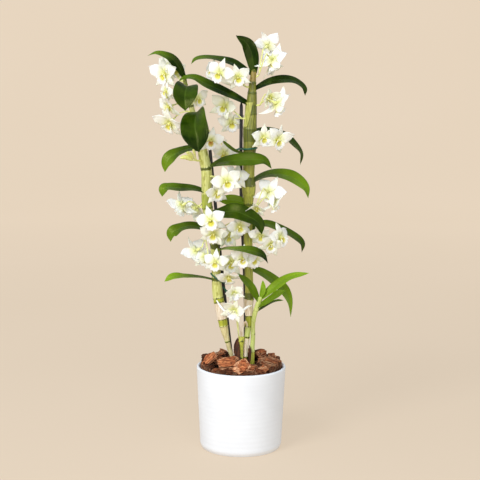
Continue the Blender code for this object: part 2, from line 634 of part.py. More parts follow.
def make_spray(name, group, loose, clearances):
    """All the blooms that leave a stem at one node, as one body that rests on the stem."""
    stem_name, height, side, blooms = SPRAYS[name]
    middle, radius = stem_at(CANES[stem_name], height * MM)
    out = Vector(side).normalized()
    root = middle + out * (radius + PEDUNCLE_REACH)
    spray = tube(name, [middle, root], [PEDUNCLE_RADIUS] * 2, 1, group)
    for x, y, z, turn, tilt, size in blooms:
        frame = bloom_frame(Vector((x, y, z)) * MM, turn, tilt)
        bloom_body(frame, size, root - out * PEDICEL_BURIED, loose)
        bloom_lip(frame, size, loose)
    fuse(spray, loose)
    boolean(spray, "DIFFERENCE", clearances[stem_name])
    spray.data.materials.clear()
    spray.data.materials.append(finish("white petal", (0.92, 0.92, 0.85), 0.5))
    return spray


def make_bud_spray(group, loose, clearances):
    """Buds that have not opened yet, on their own short pedicels."""
    stem_name, height, side, buds = BUD_SPRAY
    middle, radius = stem_at(CANES[stem_name], height * MM)
    out = Vector(side).normalized()
    root = middle + out * (radius + PEDUNCLE_REACH)
    spray = tube("spray_left_6", [middle, root], [PEDUNCLE_RADIUS] * 2, 1, group)
    start = root - out * PEDICEL_BURIED
    for x, y, z, length in buds:
        tip = Vector((x, y, z)) * MM
        heel = tip - (tip - start).normalized() * length * MM
        thick = length * BUD_THICKNESS * MM
        path = [start, start.lerp(heel, 0.6), heel, heel.lerp(tip, 0.35), heel.lerp(tip, 0.75), tip]
        radii = [PEDICEL_RADIUS, PEDICEL_RADIUS, thick * 0.5, thick, thick * 0.8, thick * 0.2]
        tube("bud", path, radii, 1, loose)
    fuse(spray, loose)
    boolean(spray, "DIFFERENCE", clearances[stem_name])
    spray.data.materials.clear()
    spray.data.materials.append(finish("green bud", (0.72, 0.75, 0.3), 0.5))
    return spray


def make_leaf(name, group, clearances):
    """One leaf, cut clear of the stem that its base clasps."""
    stem_name, half_width, look_base, look_tip, places = LEAVES[name]
    path = [Vector(place) * MM for place in places]
    if name in YOUNG_LEAVES:
        look = finish("young leaf green", (0.14, 0.4, 0.03), 0.4)
    else:
        look = finish("leaf green", (0.03, 0.13, 0.015), 0.35)
    leaf = blade(
        name,
        path,
        half_width * MM,
        Vector(look_base).normalized(),
        Vector(look_tip).normalized(),
        LEAF_FOLD,
        LEAF_ROWS,
        LEAF_THICKNESS,
        group,
        look,
    )
    boolean(leaf, "DIFFERENCE", clearances[stem_name])
    return leaf


def make_husk(name, grow, group):
    """The dry sheath between the canes' feet, or with grow its clearance in the bark."""
    path = [Vector(place) * MM for place in HUSK_PATH]
    path[0].z -= grow
    front = Vector((0.2, -1, 0.1)).normalized()
    look = finish("dry sheath", (0.2, 0.09, 0.04), 0.8)
    thick = HUSK_THICKNESS + 2 * grow
    return blade(name, path, HUSK_HALF_WIDTH + grow, front, front, HUSK_FOLD, HUSK_ROWS, thick, group, look)


def main():
    clear_scene()
    plant = new_collection("potted_bamboo_orchid")
    cutters = new_collection("cutters")
    holes = new_collection("stem_holes")
    loose = new_collection("loose_pieces")

    make_pot(plant)
    cane_look = finish("cane", (0.55, 0.6, 0.2), 0.5)
    clearances = {}
    for side, rows in CANES.items():
        stem("cane_" + side, rows, 0, CANE_ROUNDNESS[side], plant, cane_look)
        clearance = stem("clearance_" + side, rows, GAP, CANE_ROUNDNESS[side], holes)
        clearances[side] = hide_as_cutter(clearance)
    stake_look = finish("black stake", (0.02, 0.02, 0.022), 0.5)
    for side, places in STAKES.items():
        rows = [(*place, STAKE_RADIUS / MM) for place in places]
        stem("stake_" + side, rows, 0, 1, plant, stake_look)
        hide_as_cutter(stem("stake_clearance_" + side, rows, GAP, 1, holes))
        make_tie(side, plant)
    make_husk("husk", 0, plant)
    hide_as_cutter(make_husk("husk_clearance", GAP, holes))
    room = make_bed_room(cutters)
    make_bark(plant, loose, room, holes)
    for name in LEAVES:
        make_leaf(name, plant, clearances)
    for name in SPRAYS:
        make_spray(name, plant, loose, clearances)
    make_bud_spray(plant, loose, clearances)
    bpy.data.collections.remove(loose)
    for thing in plant.objects:
        if thing.type == "MESH":
            soften(thing)


main()
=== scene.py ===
# %% [markdown]
# # A potted bamboo orchid
#
# A bamboo orchid is a clump of jointed canes that carry strap leaves in two ranks and small
# bunches of white blooms straight from their joints. This lesson dresses the plain CAD plant
# of the same size: each CAD node keeps its place, and a finer piece stands in for it.

import json
import math

import bpy
import numpy as np
from mathutils import Matrix, Vector

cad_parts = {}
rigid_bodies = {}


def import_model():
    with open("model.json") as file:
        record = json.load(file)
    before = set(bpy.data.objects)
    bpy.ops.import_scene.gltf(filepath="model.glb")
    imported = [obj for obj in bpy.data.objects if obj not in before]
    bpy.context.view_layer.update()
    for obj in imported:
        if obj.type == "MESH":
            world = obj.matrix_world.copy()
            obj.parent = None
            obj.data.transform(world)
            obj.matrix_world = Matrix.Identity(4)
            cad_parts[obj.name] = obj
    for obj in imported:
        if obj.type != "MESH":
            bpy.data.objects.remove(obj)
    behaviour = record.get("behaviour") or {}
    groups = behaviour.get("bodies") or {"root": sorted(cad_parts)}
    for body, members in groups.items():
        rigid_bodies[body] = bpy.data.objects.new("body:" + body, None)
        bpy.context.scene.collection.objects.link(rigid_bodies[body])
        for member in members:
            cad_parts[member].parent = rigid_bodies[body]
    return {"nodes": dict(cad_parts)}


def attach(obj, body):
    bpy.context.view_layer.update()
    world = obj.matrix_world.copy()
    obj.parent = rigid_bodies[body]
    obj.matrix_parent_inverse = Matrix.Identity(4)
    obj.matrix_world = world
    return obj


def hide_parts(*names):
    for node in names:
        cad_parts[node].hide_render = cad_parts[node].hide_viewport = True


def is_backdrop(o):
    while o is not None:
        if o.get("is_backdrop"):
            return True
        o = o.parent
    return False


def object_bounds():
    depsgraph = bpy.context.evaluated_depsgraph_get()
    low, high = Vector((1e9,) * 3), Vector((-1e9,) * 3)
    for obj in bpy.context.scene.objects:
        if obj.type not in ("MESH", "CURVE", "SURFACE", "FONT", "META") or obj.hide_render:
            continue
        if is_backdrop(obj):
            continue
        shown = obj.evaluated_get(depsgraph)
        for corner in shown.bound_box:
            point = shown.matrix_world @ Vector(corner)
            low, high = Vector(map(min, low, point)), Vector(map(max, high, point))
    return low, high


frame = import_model()
cad_low, cad_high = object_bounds()
scene = bpy.context.scene
MM = 0.001
print("nodes", len(frame["nodes"]), "box", [round(v, 4) for v in (*cad_low, *cad_high)])

# %% [markdown]
# ## Where everything stands
#
# A plant has no drawing, so its shape is a set of tables: where each stem runs and how thick it is,
# where each leaf goes and which way it faces, and where each bloom hangs. The places were picked on
# a photograph, with a guess at how far in front or behind each lies. A small program of its own
# then worked them out in millimetres for the camera of this scene, and many were moved by hand
# afterwards. +Z is up, and the viewer is on the -Y side.

# %% Stems, stakes and ties
# Stems: x, y, z and radius in mm, from the end in the bark to the top
CANES = {
    "right": [
        (5, 0, 100, 2.6), (6, 0, 133, 2.9), (7, 0, 152, 3.4), (9, 0, 170, 4.0), (11, 0, 193, 5.1),
        (10, 0, 210, 6.3), (11, 0, 223, 6.7), (11, 0, 236, 5.9), (9, 0, 306, 6.2), (9, 0, 357, 6.6),
        (9.5, 0, 376, 9.4), (9, 0, 388, 9.8), (9, 0, 401, 8.2), (10, 0, 429, 8.7),
        (10.5, 0, 447, 9.2), (10.5, 0, 462, 9.5), (12, 0, 486, 7.9), (13, 0, 508, 7.0),
        (13.5, 0, 520, 5.7), (14, 0, 534, 4.6), (16, 0, 549, 3.4),
    ],
    "left": [
        (-11, 0, 100, 2.6), (-13, 0, 130, 2.9), (-17, 0, 144, 3.2), (-20, 0, 156, 3.6),
        (-24, 0, 171, 5.4), (-27, 0, 186, 6.6), (-30, 0, 203, 7.2), (-35, 0, 229, 7.3),
        (-37, 0, 262, 6.2), (-39, 0, 297, 6.5), (-45, 0, 330, 6.8), (-50, 0, 356, 7.4),
        (-51, 0, 380, 7.2), (-51, 0, 404, 7.7), (-54, 0, 420, 7.5), (-58, 0, 440, 6.5),
        (-62, 0, 458, 5.1), (-68, 0, 480, 3.8), (-73, 0, 497, 3.6), (-78, 0, 514, 3.3),
        (-81, 0, 527, 2.9), (-82, 0, 540, 2.2),
    ],
    "shoot": [
        (16, 0, 104, 2.8), (16, 0, 126, 3.5), (16, 0, 144, 3.5), (17, -1, 163, 3.2),
        (17, -3, 184, 3.2), (20, -6, 201, 3.4), (24, -9, 214, 3.7), (28, -12, 225, 3.2),
    ],
    "stub": [
        (0, -4, 106, 2.4), (0, -4, 130, 2.8), (0, -4, 148, 3.0), (0, -4, 158, 4.4),
        (0, -4, 165, 4.2),
    ],
}
STAKE_RADIUS = 2.4
STAKES = {
    "right": [(6, 9, 90), (5, 9, 228), (-1.5, 9, 371), (-2, 9, 502)],
    "left": [(-9, 7, 90), (-25, 7, 225), (-38.5, 7, 356), (-49, 7, 461)],
}
# Ties: the height at the middle of the loop, and its rise for each unit of x
TIES = {"right": (437, 0.08), "left": (247, -0.75)}
print("stems", len(CANES), "stakes", len(STAKES), "ties", len(TIES))

# %% Leaves
# Leaves of each stem, from the top down: half width, where the upper side looks at the base and at
# the tip, how light the leaf is painted there, from 0 for dark to 1 for bright, which paints in
# light and shade as well as its own paler or darker green, and its middle line
LEAVES = {
    "right": [
        (10, (-0.3, -1, 0.2), (-0.2, -1, 0.5), (0.0, 0.0), [(16, 0, 543), (13, 2, 568), (6, 4, 584),
          (-10, 2, 596)]),
        (8.5, (0.1, -0.6, 0.8), (-0.3, -0.3, 0.95), (0.0, 0.3), [(14, 0, 541), (-3, 3, 552),
          (-17, 4, 559), (-35, 5, 563), (-52, 4, 565), (-66, 2, 563), (-73, 0, 556)]),
        (8.5, (-0.1, -0.6, 0.8), (0.6, -0.5, 0.6), (0.0, 0.06), [(14, 0, 520), (36, 0, 531),
          (56, -2, 535), (73, -3, 533), (86, -4, 524), (88, -5, 513)]),
        (9, (0.2, -0.7, 0.7), (-0.1, -0.5, 0.9), (0.0, 0.3), [(13, 0, 498), (-10, -6, 510),
          (-32, -8, 520), (-52, -9, 529), (-68, -10, 537), (-82, -9, 537), (-90, -7, 532)]),
        (8.5, (0, -0.3, 1), (0.8, -0.5, 0.4), (0.08, 0.15), [(11, 0, 462), (36, 5, 464),
          (59, 8, 456), (74, 9, 443), (84, 9, 430), (83, 8, 414)]),
        (7, (-0.2, 0.1, 1), (-0.7, 0, 0.7), (0.1, 0.25), [(10, 0, 430), (-9, -5, 433),
          (-23, -8, 443), (-33, -8, 454)]),
        (12.5, (-0.3, -0.1, 1), (0.7, -0.8, 0.4), (0.25, 0.6), [(9, 0, 385), (28, 6, 396),
          (48, 8, 400), (71, 8, 396), (90, 8, 382), (95, 7, 366)]),
        (8, (0, -1, 0.4), (0, -1, 0.4), (0.45, 0.55), [(9, 0, 358), (-9, -3, 363), (-22, -4, 364),
          (-36, -4, 365)]),
        (9, (0, -0.45, 1), (0.8, -0.5, 0.4), (0.3, 0.1), [(9, 0, 320), (32, 8, 328), (52, 11, 322),
          (72, 13, 312), (87, 13, 300), (87, 12, 286)]),
        (10, (0.4, -0.6, 0.8), (0.8, -0.7, 0.2), (0.38, 0.75), [(9, 0, 266), (30, 8, 256),
          (48, 13, 243), (62, 13, 230), (70, 12, 213), (72, 10, 191)]),
    ],
    "left": [
        (7, (-0.4, -0.7, 0.6), (-0.3, -0.5, 0.9), (0.0, 0.45), [(-82, 0, 536), (-90, -3, 552),
          (-100, -5, 563), (-109, -6, 568), (-122, -7, 571), (-134, -7, 567)]),
        (17, (0.2, 0.2, 1), (0, -1, 0.2), (0.05, 0.1), [(-79, 0, 518), (-78, -14, 525),
          (-78, -31, 524), (-80, -45, 511), (-79, -53, 493)]),
        (19.5, (-0.5, 0.2, 1), (0, -1, 0.2), (0.22, 0.0), [(-66, 0, 477), (-64, -14, 489),
          (-65, -30, 487), (-66, -45, 472), (-63, -55, 454), (-60, -60, 437)]),
        (10, (0, -0.5, 0.9), (-0.5, -1, 0.2), (0.12, 0.5), [(-58, 0, 434), (-72, -2, 437),
          (-88, -4, 433), (-101, -6, 426), (-108, -8, 416), (-110, -8, 404)]),
        (10, (0, -0.45, 0.9), (-0.5, -0.9, 0.3), (0.1, 0.5), [(-51, 0, 375), (-70, -3, 380),
          (-89, -6, 381), (-105, -8, 382), (-112, -9, 379), (-114, -9, 369)]),
        (10, (0.1, -0.5, 0.9), (-0.6, -0.8, 0.2), (0.1, 0.42), [(-43, 0, 317), (-62, -3, 325),
          (-79, -6, 326), (-93, -7, 321), (-101, -8, 315), (-102, -9, 304)]),
        (7.5, (0, -0.15, 1), (-0.2, -0.8, 0.6), (0.2, 0.8), [(-36, 0, 246), (-58, -3, 251),
          (-80, -6, 253), (-99, -8, 253), (-111, -9, 246)]),
        (12, (0.1, -0.6, 0.8), (0.3, -0.7, 0.6), (0.2, 0.22), [(-51, 0, 409), (-33, -16, 418),
          (-12, -26, 422), (11, -31, 424), (30, -33, 423), (41, -33, 412)]),
        (13, (0, -0.7, 0.7), (0.4, -0.8, 0.5), (0.1, 0.1), [(-47, 0, 343), (-28, -18, 348),
          (-9, -27, 350), (11, -32, 343), (24, -34, 334), (28, -35, 319)]),
        (9, (-0.1, -0.3, 1), (0.6, -0.6, 0.5), (0.5, 0.05), [(-38, 0, 287), (-28, -13, 294),
          (-10, -35, 298), (10, -46, 298), (28, -44, 292), (37, -42, 279)]),
    ],
    "shoot": [
        (7, (0.5, -0.8, 0.4), (-0.2, -0.6, 0.8), (0.5, 0.3), [(25, -10, 218), (15, -20, 238),
          (6, -26, 250), (-6, -31, 262)]),
        (8, (-0.4, -0.7, 0.7), (-0.1, -0.6, 0.9), (0.7, 0.85), [(26.5, -11, 221), (49, -8, 240),
          (70, -6, 253), (97, -6, 259)]),
        (7, (-0.4, -0.6, 0.7), (-0.4, -0.6, 0.7), (0.5, 0.42), [(23, -8, 209), (41, -25, 224),
          (52, -31, 233), (63, -33, 239)]),
        (4, (-0.2, -1, 0), (-0.2, -1, 0.2), (0.7, 0.9), [(27.5, -13, 223), (31, -10, 236),
          (30.5, -6, 248)]),
        (4, (-0.4, -0.3, 1), (0.3, -0.3, 1), (0.3, 0.3), [(20, -5, 200), (35, -2, 210),
          (50, -2, 217), (61, -2, 218)]),
    ],
}
print("leaves", sum(map(len, LEAVES.values())))

# %% Sprays of blooms, the spray of buds, and the husk
# Sprays, named after their stem: the height of their joint, the way they leave the stem, and
# for each bloom x, y, z, the degrees it is turned and tilted by, and its size
SPRAYS = {
    "left_1": (531, (-1, 0.3, 0.3), [(-110, 10, 542, -40, -5, 1.12), (-109, 24, 550, -35, 10, 0.95),
        (-96, 14, 547, 10, -10, 0.8)]),
    "left_2": (512, (-1, 0.1, 0.2), [(-107, -13, 518, -50, -10, 0.72),
        (-106, 14, 509, -70, -20, 0.76)]),
    "left_3": (488, (-1, 0, 0.2), [(-104, 0, 496, -50, -15, 1.05),
        (-102, -6, 474, -40, -35, 1.15)]),
    "left_4": (503, (0.6, 0.8, 0), [(-65, 18, 506, 30, 5, 0.86)]),
    "left_5": (468, (1, 0.7, 0.5), [(-45, -14, 449, 10, 0, 0.92), (-26, 22, 429, -10, -20, 0.97)]),
    "left_7": (398, (0.8, -0.7, 0), [(-22, -32, 393, 5, 5, 1.08), (-9, -19, 399, 30, 20, 0.94),
        (-36, -18, 376, 15, -20, 0.88)]),
    "left_8": (352, (-1, -0.1, 0.1), [(-85, -10, 357, -135, -25, 1.1),
        (-65, 6, 352, -130, -30, 1.0)]),
    "left_9": (332, (0.1, -1, 0), [(-44, -28, 337, -10, 10, 1.08), (-40, -22, 318, -5, -15, 1.0)]),
    "left_10": (322, (0.9, -0.5, 0), [(-21, -8, 313, 30, -10, 0.97),
        (-4, -19, 329, 15, -20, 0.97)]),
    "left_11": (308, (-1, -0.2, -0.1), [(-65, -2, 290, -140, -30, 1.1),
        (-52, -11, 283, -160, -30, 0.95)]),
    "left_12": (278, (0.6, -0.8, 0), [(-37, -30, 278, -10, 0, 0.92), (-16, -13, 275, 20, -10, 1.03),
        (-19, -20, 256, 10, -40, 0.92)]),
    "right_1": (536, (1, 0, 0.6), [(34, 2, 582, 150, 25, 1.0), (41, -6, 564, 142, -25, 1.15),
        (38, 14, 553, 60, -40, 0.9)]),
    "right_2": (523, (-1, -0.3, 0.2), [(-32, -19, 544, -20, -5, 1.03), (-7, -15, 538, 0, -5, 0.92),
        (-42, 14, 545, -50, 10, 0.86)]),
    "right_3": (498, (1, -0.3, 0.1), [(47, -18, 502, 125, -25, 1.25),
        (37, -14, 511, 30, -20, 0.8)]),
    "right_4": (480, (-1, -0.4, 0), [(-25, 18, 495, -20, 10, 1.03), (-16, 21, 473, 0, -10, 0.97)]),
    "right_5": (442, (1, -0.4, 0), [(29, -16, 454, 20, 0, 0.92), (49, -12, 451, 40, -5, 1.03)]),
    "right_6": (352, (1, -0.6, 0), [(37, -14, 378, 150, -20, 1.12), (44, -12, 362, 115, -35, 1.05),
        (21, -18, 355, -10, -40, 0.75)]),
    "right_7": (308, (1, -0.3, 0), [(54, -8, 311, 50, 0, 1.03), (41, -14, 302, 20, -15, 0.92),
        (26, -16, 315, 0, -20, 0.86)]),
    "right_8": (272, (-0.1, -1, 0), [(2, -27, 283, 0, 0, 0.95), (16, -23, 283, 30, -10, 1.0)]),
    "stub": (162, (-0.5, -1, 0.6), [(-11, -20, 231, 10, 5, 0.75), (-10, -24, 207, -15, 0, 0.95)]),
}
# The spray of buds, with its stem first, and x, y, z and the length of each bud
BUD_SPRAY = (
    "left", 420, (-1, -0.6, 0), [(-88, -18, 425, 19), (-79, -20, 433, 16), (-70, -14, 437, 11)],
)
HUSK_PATH = [(-6, -9, 116), (-6, -8, 140), (-7, -7, 152), (-5, -6, 163)]

print("sprays", len(SPRAYS) + 1, "with", sum(len(row[2]) for row in SPRAYS.values()), "blooms")

# %% [markdown]
# ## Small tools that every piece uses
#
# A mesh is only a list of points and a list of faces, so numpy can lay it out and one call can
# make it. Named numbers kept on the points ("thickness", "throat", "olive") travel with the
# mesh: the node trees read some of them, and the materials read the others.

# %% Smooth lines and mesh objects
def smooth_path(places, count):
    """Points along the smooth curve through the given places, from the first to the last."""
    given = np.array(places, float)
    padded = np.vstack([2 * given[0] - given[1], given, 2 * given[-1] - given[-2]])
    at = np.linspace(0, len(given) - 1, count)
    k = np.minimum(at.astype(int), len(given) - 2)
    t = (at - k)[:, None]
    p0, p1, p2, p3 = padded[k], padded[k + 1], padded[k + 2], padded[k + 3]
    square = 2 * p0 - 5 * p1 + 4 * p2 - p3
    cube = 3 * p1 - p0 - 3 * p2 + p3
    return 0.5 * (2 * p1 + (p2 - p0) * t + square * t**2 + cube * t**3)


def unit(arrows):
    """Arrows of length one that point the same way."""
    arrows = np.asarray(arrows, float)
    return arrows / np.linalg.norm(arrows, axis=-1, keepdims=True)


def mesh_object(name, points, faces=(), edges=(), numbers=None):
    """A mesh object from points in mm, with named numbers or arrows kept on its points."""
    mesh = bpy.data.meshes.new(name)
    mesh.from_pydata((np.asarray(points, float) * MM).tolist(), edges, faces)
    for title, values in (numbers or {}).items():
        values = np.asarray(values, np.float32)
        arrow = values.ndim == 2
        kept = mesh.attributes.new(title, "FLOAT_VECTOR" if arrow else "FLOAT", "POINT")
        kept.data.foreach_set("vector" if arrow else "value", values.ravel())
    mesh.update()
    thing = bpy.data.objects.new(name, mesh)
    scene.collection.objects.link(thing)
    return thing


print("a smooth line of 5 points:", smooth_path([(0, 0, 0), (1, 0, 1), (2, 0, 0)], 5)[:, 2])


# %% Thin shells and round bodies
def shell(grid, thickness):
    """The points and faces of a thin closed skin round a grid of points."""
    along, across = np.gradient(grid, axis=(0, 1))
    out = unit(np.cross(along, across) + 1e-9) * thickness / 2
    rows, columns = grid.shape[:2]
    points = np.concatenate([(grid + out).reshape(-1, 3), (grid - out).reshape(-1, 3)])
    under = rows * columns
    faces = []
    for r in range(rows - 1):
        for c in range(columns - 1):
            a = r * columns + c
            b, d = a + 1, a + columns
            faces.append((a, d, d + 1, b))
            faces.append((under + a, under + b, under + d + 1, under + d))
    rim = [*range(columns)] + [r * columns + columns - 1 for r in range(1, rows)]
    rim += [(rows - 1) * columns + c for c in range(columns - 2, -1, -1)]
    rim += [r * columns for r in range(rows - 2, 0, -1)]
    for a, b in zip(rim, rim[1:] + rim[:1]):
        faces.append((a, b, under + b, under + a))
    return points, faces


def lathe(rows, steps, over=(0, 1, 0)):
    """The skin of a round body. A row is the middle of a ring and its radius, and the first and
    the last row are single points. The rings lie in the plane of X and the arrow over. The skin
    faces out when the rows start from below and over is Y, or from the front and it is -Z."""
    rows = np.array(rows, float)
    rings, radii, n = rows[1:-1, :3], rows[1:-1, 3:], len(rows) - 2
    points, faces = [*rows[[0, -1], :3]], []
    for i in range(steps):
        a = 2 * math.pi / steps * i
        out = math.cos(a) * np.array([1, 0, 0]) + math.sin(a) * np.array(over)
        points.extend(rings + radii * out)
        here, there = 2 + i * n, 2 + (i + 1) % steps * n
        faces.append((0, there, here))
        faces.extend((here + k, there + k, there + k + 1, here + k + 1) for k in range(n - 1))
        faces.append((1, here + n - 1, there + n - 1))
    return np.array(points), faces


def together(parts):
    """The points, faces and kept numbers of several parts, as one mesh object takes them."""
    points, faces, numbers, start = [], [], {}, 0
    for skin, part_faces, kept in parts:
        points.append(skin)
        faces.extend(tuple(start + v for v in face) for face in part_faces)
        for title, values in kept.items():
            values = values if np.ndim(values) else np.full(len(skin), float(values))
            numbers.setdefault(title, []).append(values)
        start += len(skin)
    numbers = {title: np.concatenate(values) for title, values in numbers.items()}
    return np.vstack(points), faces, (), numbers


cone = lathe([(0, 0, 0, 0), (0, 0, 0, 1), (0, 0, 2, 0)], 8)
print("a cone of 8 sides has", len(cone[1]), "faces")


# %% Finished pieces
def keep(thing, node_name, slot):
    """Lets a finished piece stand for one node of the CAD model."""
    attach(thing, "root")
    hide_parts(node_name)
    triangles = sum(len(face.vertices) - 2 for face in thing.data.polygons)
    print(thing.name, "stands for", node_name, "with", triangles, "triangles")


def merge(thing, *others):
    """Joins finished meshes into one."""
    with bpy.context.temp_override(active_object=thing, selected_editable_objects=[thing, *others]):
        bpy.ops.object.join()


def gather(name, things):
    """A collection of small things, for a tree to pick from."""
    group = bpy.data.collections.new(name)
    scene.collection.children.link(group)
    for thing in things:
        scene.collection.objects.unlink(thing)
        group.objects.link(thing)
    return group


def clear(group):
    """Removes a collection and all that is in it."""
    for thing in list(group.objects):
        bpy.data.objects.remove(thing)
    bpy.data.collections.remove(group)


print("nodes that wait for a finer piece:", len(frame["nodes"]))

# %% [markdown]
# ## Wiring nodes from a script
#
# Materials and Geometry Nodes are both trees of nodes, so one helper can add a node, set what
# is fixed about it and connect the rest. What it gives back can be added, subtracted and
# multiplied like a number, and each sum adds a node to the tree. Colours are written as they
# look on a screen, from 0 to 255, and turned into the linear light that the renderer works with.

# %% Nodes, and sums of what they give out
class Value:
    """What a node gives out. Sums and products of it add the nodes that work them out."""

    def __init__(self, socket):
        self.socket = socket

    def __getitem__(self, title):
        """Another output of the same node, by its name or its place."""
        return Value(self.socket.node.outputs[title])

    def __add__(self, other):
        return maths("ADD", self, other)

    def __sub__(self, other):
        return maths("SUBTRACT", self, other)

    def __rsub__(self, other):
        return maths("SUBTRACT", other, self)

    def __mul__(self, other):
        return maths("MULTIPLY", self, other)


def node(tree, kind, inputs=None, **settings):
    """A node with its settings. Each input is set to a value, or linked to one or more others."""
    made = tree.nodes.new(kind)
    for title, value in settings.items():
        setattr(made, title, value)
    for key, given in (inputs or {}).items():
        for value in given if isinstance(given, list) else [given]:
            if isinstance(value, Value):
                tree.links.new(value.socket, made.inputs[key])
            else:
                made.inputs[key].default_value = value
    return Value(made.outputs[0]) if made.outputs else None


def tree_of(*values):
    """The tree that some values come from, where the rest are plain numbers."""
    return next(value.socket.id_data for value in values if isinstance(value, Value))


def maths(operation, *values):
    """What a sum or another operation makes of some values."""
    inputs = dict(enumerate(values))
    return node(tree_of(*values), "ShaderNodeMath", inputs, operation=operation)


trial = bpy.data.node_groups.new("trial", "ShaderNodeTree")
node(trial, "ShaderNodeValue") * 2.0 + 1.0
print("one value and two sums are", len(trial.nodes), "nodes")
bpy.data.node_groups.remove(trial)


# %% Colours, steps and noise
def colour(*seen):
    """Red, green and blue as seen on a screen, as linear light."""
    return (*[((c / 255 + 0.055) / 1.055) ** 2.4 if c > 10 else c / 3294 for c in seen], 1)


def mixed(share, first, second):
    """One colour over another, by a share from 0 to 1."""
    pair = [colour(*given) if isinstance(given, tuple) else given for given in (first, second)]
    inputs = {0: share, 6: pair[0], 7: pair[1]}
    return node(tree_of(share, *pair), "ShaderNodeMix", inputs, data_type="RGBA")[2]


def step(value, low, high):
    """0 below low, 1 above high, and a straight rise between them."""
    inputs = {"Value": value, "From Min": low, "From Max": high}
    return node(tree_of(value), "ShaderNodeMapRange", inputs)["Result"]


def number(tree, title, output="Fac"):
    """A number that was kept on the points of the mesh, for a material."""
    return node(tree, "ShaderNodeAttribute", attribute_name=title)[output]


def named(tree, title, kind="FLOAT"):
    """A number that was kept on the points of the mesh, for a geometry tree."""
    return node(tree, "GeometryNodeInputNamedAttribute", {"Name": title}, data_type=kind)


def noise(place, stretch, scale, detail):
    """Noise at a place, with its grains stretched along some axes."""
    tree = tree_of(place)
    place = node(tree, "ShaderNodeMapping", {"Vector": place, "Scale": stretch})
    inputs = {"Vector": place, "Scale": scale, "Detail": detail}
    return node(tree, "ShaderNodeTexNoise", inputs)


def speckle(tree, scale, stretch=(1, 1, 1), detail=3.0):
    """Noise that stays with the object. Scale counts its grains in one metre."""
    return noise(node(tree, "ShaderNodeTexCoord")["Object"], stretch, scale, detail)


def bumped(height, depth):
    """A surface that looks raised where height is large, by up to depth in mm."""
    inputs = {"Height": height, "Distance": depth * MM, "Strength": 1.0}
    return node(tree_of(height), "ShaderNodeBump", inputs)


print("white on a screen is", [round(c, 2) for c in colour(255, 255, 255)[:3]])


# %% Blank materials and blank trees
def new_look(name):
    """A material and its tree."""
    look = bpy.data.materials.new(name)
    look.use_nodes = True
    return look, look.node_tree


def paint(look, **inputs):
    """Sets or links inputs of a material's shader, such as Base_Color."""
    sockets = look.node_tree.nodes["Principled BSDF"].inputs
    for title, value in inputs.items():
        socket = sockets[title.replace("_", " ")]
        if isinstance(value, Value):
            look.node_tree.links.new(value.socket, socket)
        else:
            socket.default_value = value


def speckled_look(name, grains, share, colours, relief, roughness):
    """A material of two colours that noise mixes, and that stands up by a relief in mm."""
    look, tree = new_look(name)
    noisy = speckle(tree, *grains)
    blend = mixed(step(noisy, *share), *colours)
    paint(look, Base_Color=blend, Normal=bumped(noisy, relief), Roughness=roughness)
    return look


def new_tree(name, inputs):
    """A blank geometry tree with named inputs, and what comes in through them."""
    tree = bpy.data.node_groups.new(name, "GeometryNodeTree")
    for way in ("OUTPUT", "INPUT"):
        tree.interface.new_socket("Geometry", in_out=way, socket_type="NodeSocketGeometry")
    for title, kind in inputs.items():
        tree.interface.new_socket(title, in_out="INPUT", socket_type="NodeSocket" + kind)
    return tree, node(tree, "NodeGroupInput")


def end_tree(tree, geometry, look, smooth=True):
    """Shades, realizes and colours what the tree made, and sends it out."""
    inputs = {"Geometry": geometry, "Shade Smooth": smooth}
    shaded = node(tree, "GeometryNodeSetShadeSmooth", inputs)
    real = node(tree, "GeometryNodeRealizeInstances", {"Geometry": shaded})
    ready = node(tree, "GeometryNodeSetMaterial", {"Geometry": real, "Material": look})
    node(tree, "NodeGroupOutput", {"Geometry": ready})


def grown(thing, tree, name, settings):
    """What a tree makes of a thing, as a plain mesh object. The thing itself goes."""
    modifier = thing.modifiers.new(tree.name, "NODES")
    modifier.node_group = tree
    for item in tree.interface.items_tree:
        if item.in_out == "INPUT" and item.name in settings:
            modifier[item.identifier] = settings[item.name]
    graph = bpy.context.evaluated_depsgraph_get()
    mesh = bpy.data.meshes.new_from_object(thing.evaluated_get(graph), depsgraph=graph)
    bpy.data.objects.remove(thing)
    mesh.name = name
    result = bpy.data.objects.new(name, mesh)
    scene.collection.objects.link(result)
    return result


print("trees and materials so far:", len(bpy.data.node_groups), len(bpy.data.materials))

# %% [markdown]
# ## A tree that grows a stem along a line
#
# Canes, stakes, wires and flower stalks are all the same thing: a round section carried along
# a line. The line is a mesh of edges with a thickness kept at each point. The tree turns it
# into a curve and sweeps a circle along it. Ribs in the circle become the long fine furrows
# of a cane, because every section has them at the same angles.

# %% The stem tree
stem_inputs = {"Sides": "Int", "Ribs": "Int", "Rib depth": "Float", "Material": "Material"}
stem_tree, given = new_tree("stem", stem_inputs)
inputs = {"Resolution": given["Sides"], "Radius": 1.0}
circle = node(stem_tree, "GeometryNodeCurvePrimitiveCircle", inputs)
angle = node(stem_tree, "GeometryNodeSplineParameter")["Factor"] * (2 * math.pi)
uneven = maths("SINE", angle * 5.0)
push = maths("SINE", angle * given["Ribs"] + uneven) * given["Rib depth"]
inputs = {0: node(stem_tree, "GeometryNodeInputPosition"), "Scale": push}
offset = node(stem_tree, "ShaderNodeVectorMath", inputs, operation="SCALE")
section = node(stem_tree, "GeometryNodeSetPosition", {"Geometry": circle, "Offset": offset})


def swept(tree, line, profile, facing=None):
    """The profile carried along a mesh line, as large at each point as its thickness says."""
    curve = node(tree, "GeometryNodeMeshToCurve", {"Mesh": line})
    if facing:
        inputs = {"Curve": curve, "Normal": facing}
        curve = node(tree, "GeometryNodeSetCurveNormal", inputs, mode="FREE")
    inputs = {"Curve": curve, "Profile Curve": profile, "Fill Caps": True}
    inputs["Scale"] = named(tree, "thickness")
    return node(tree, "GeometryNodeCurveToMesh", inputs)


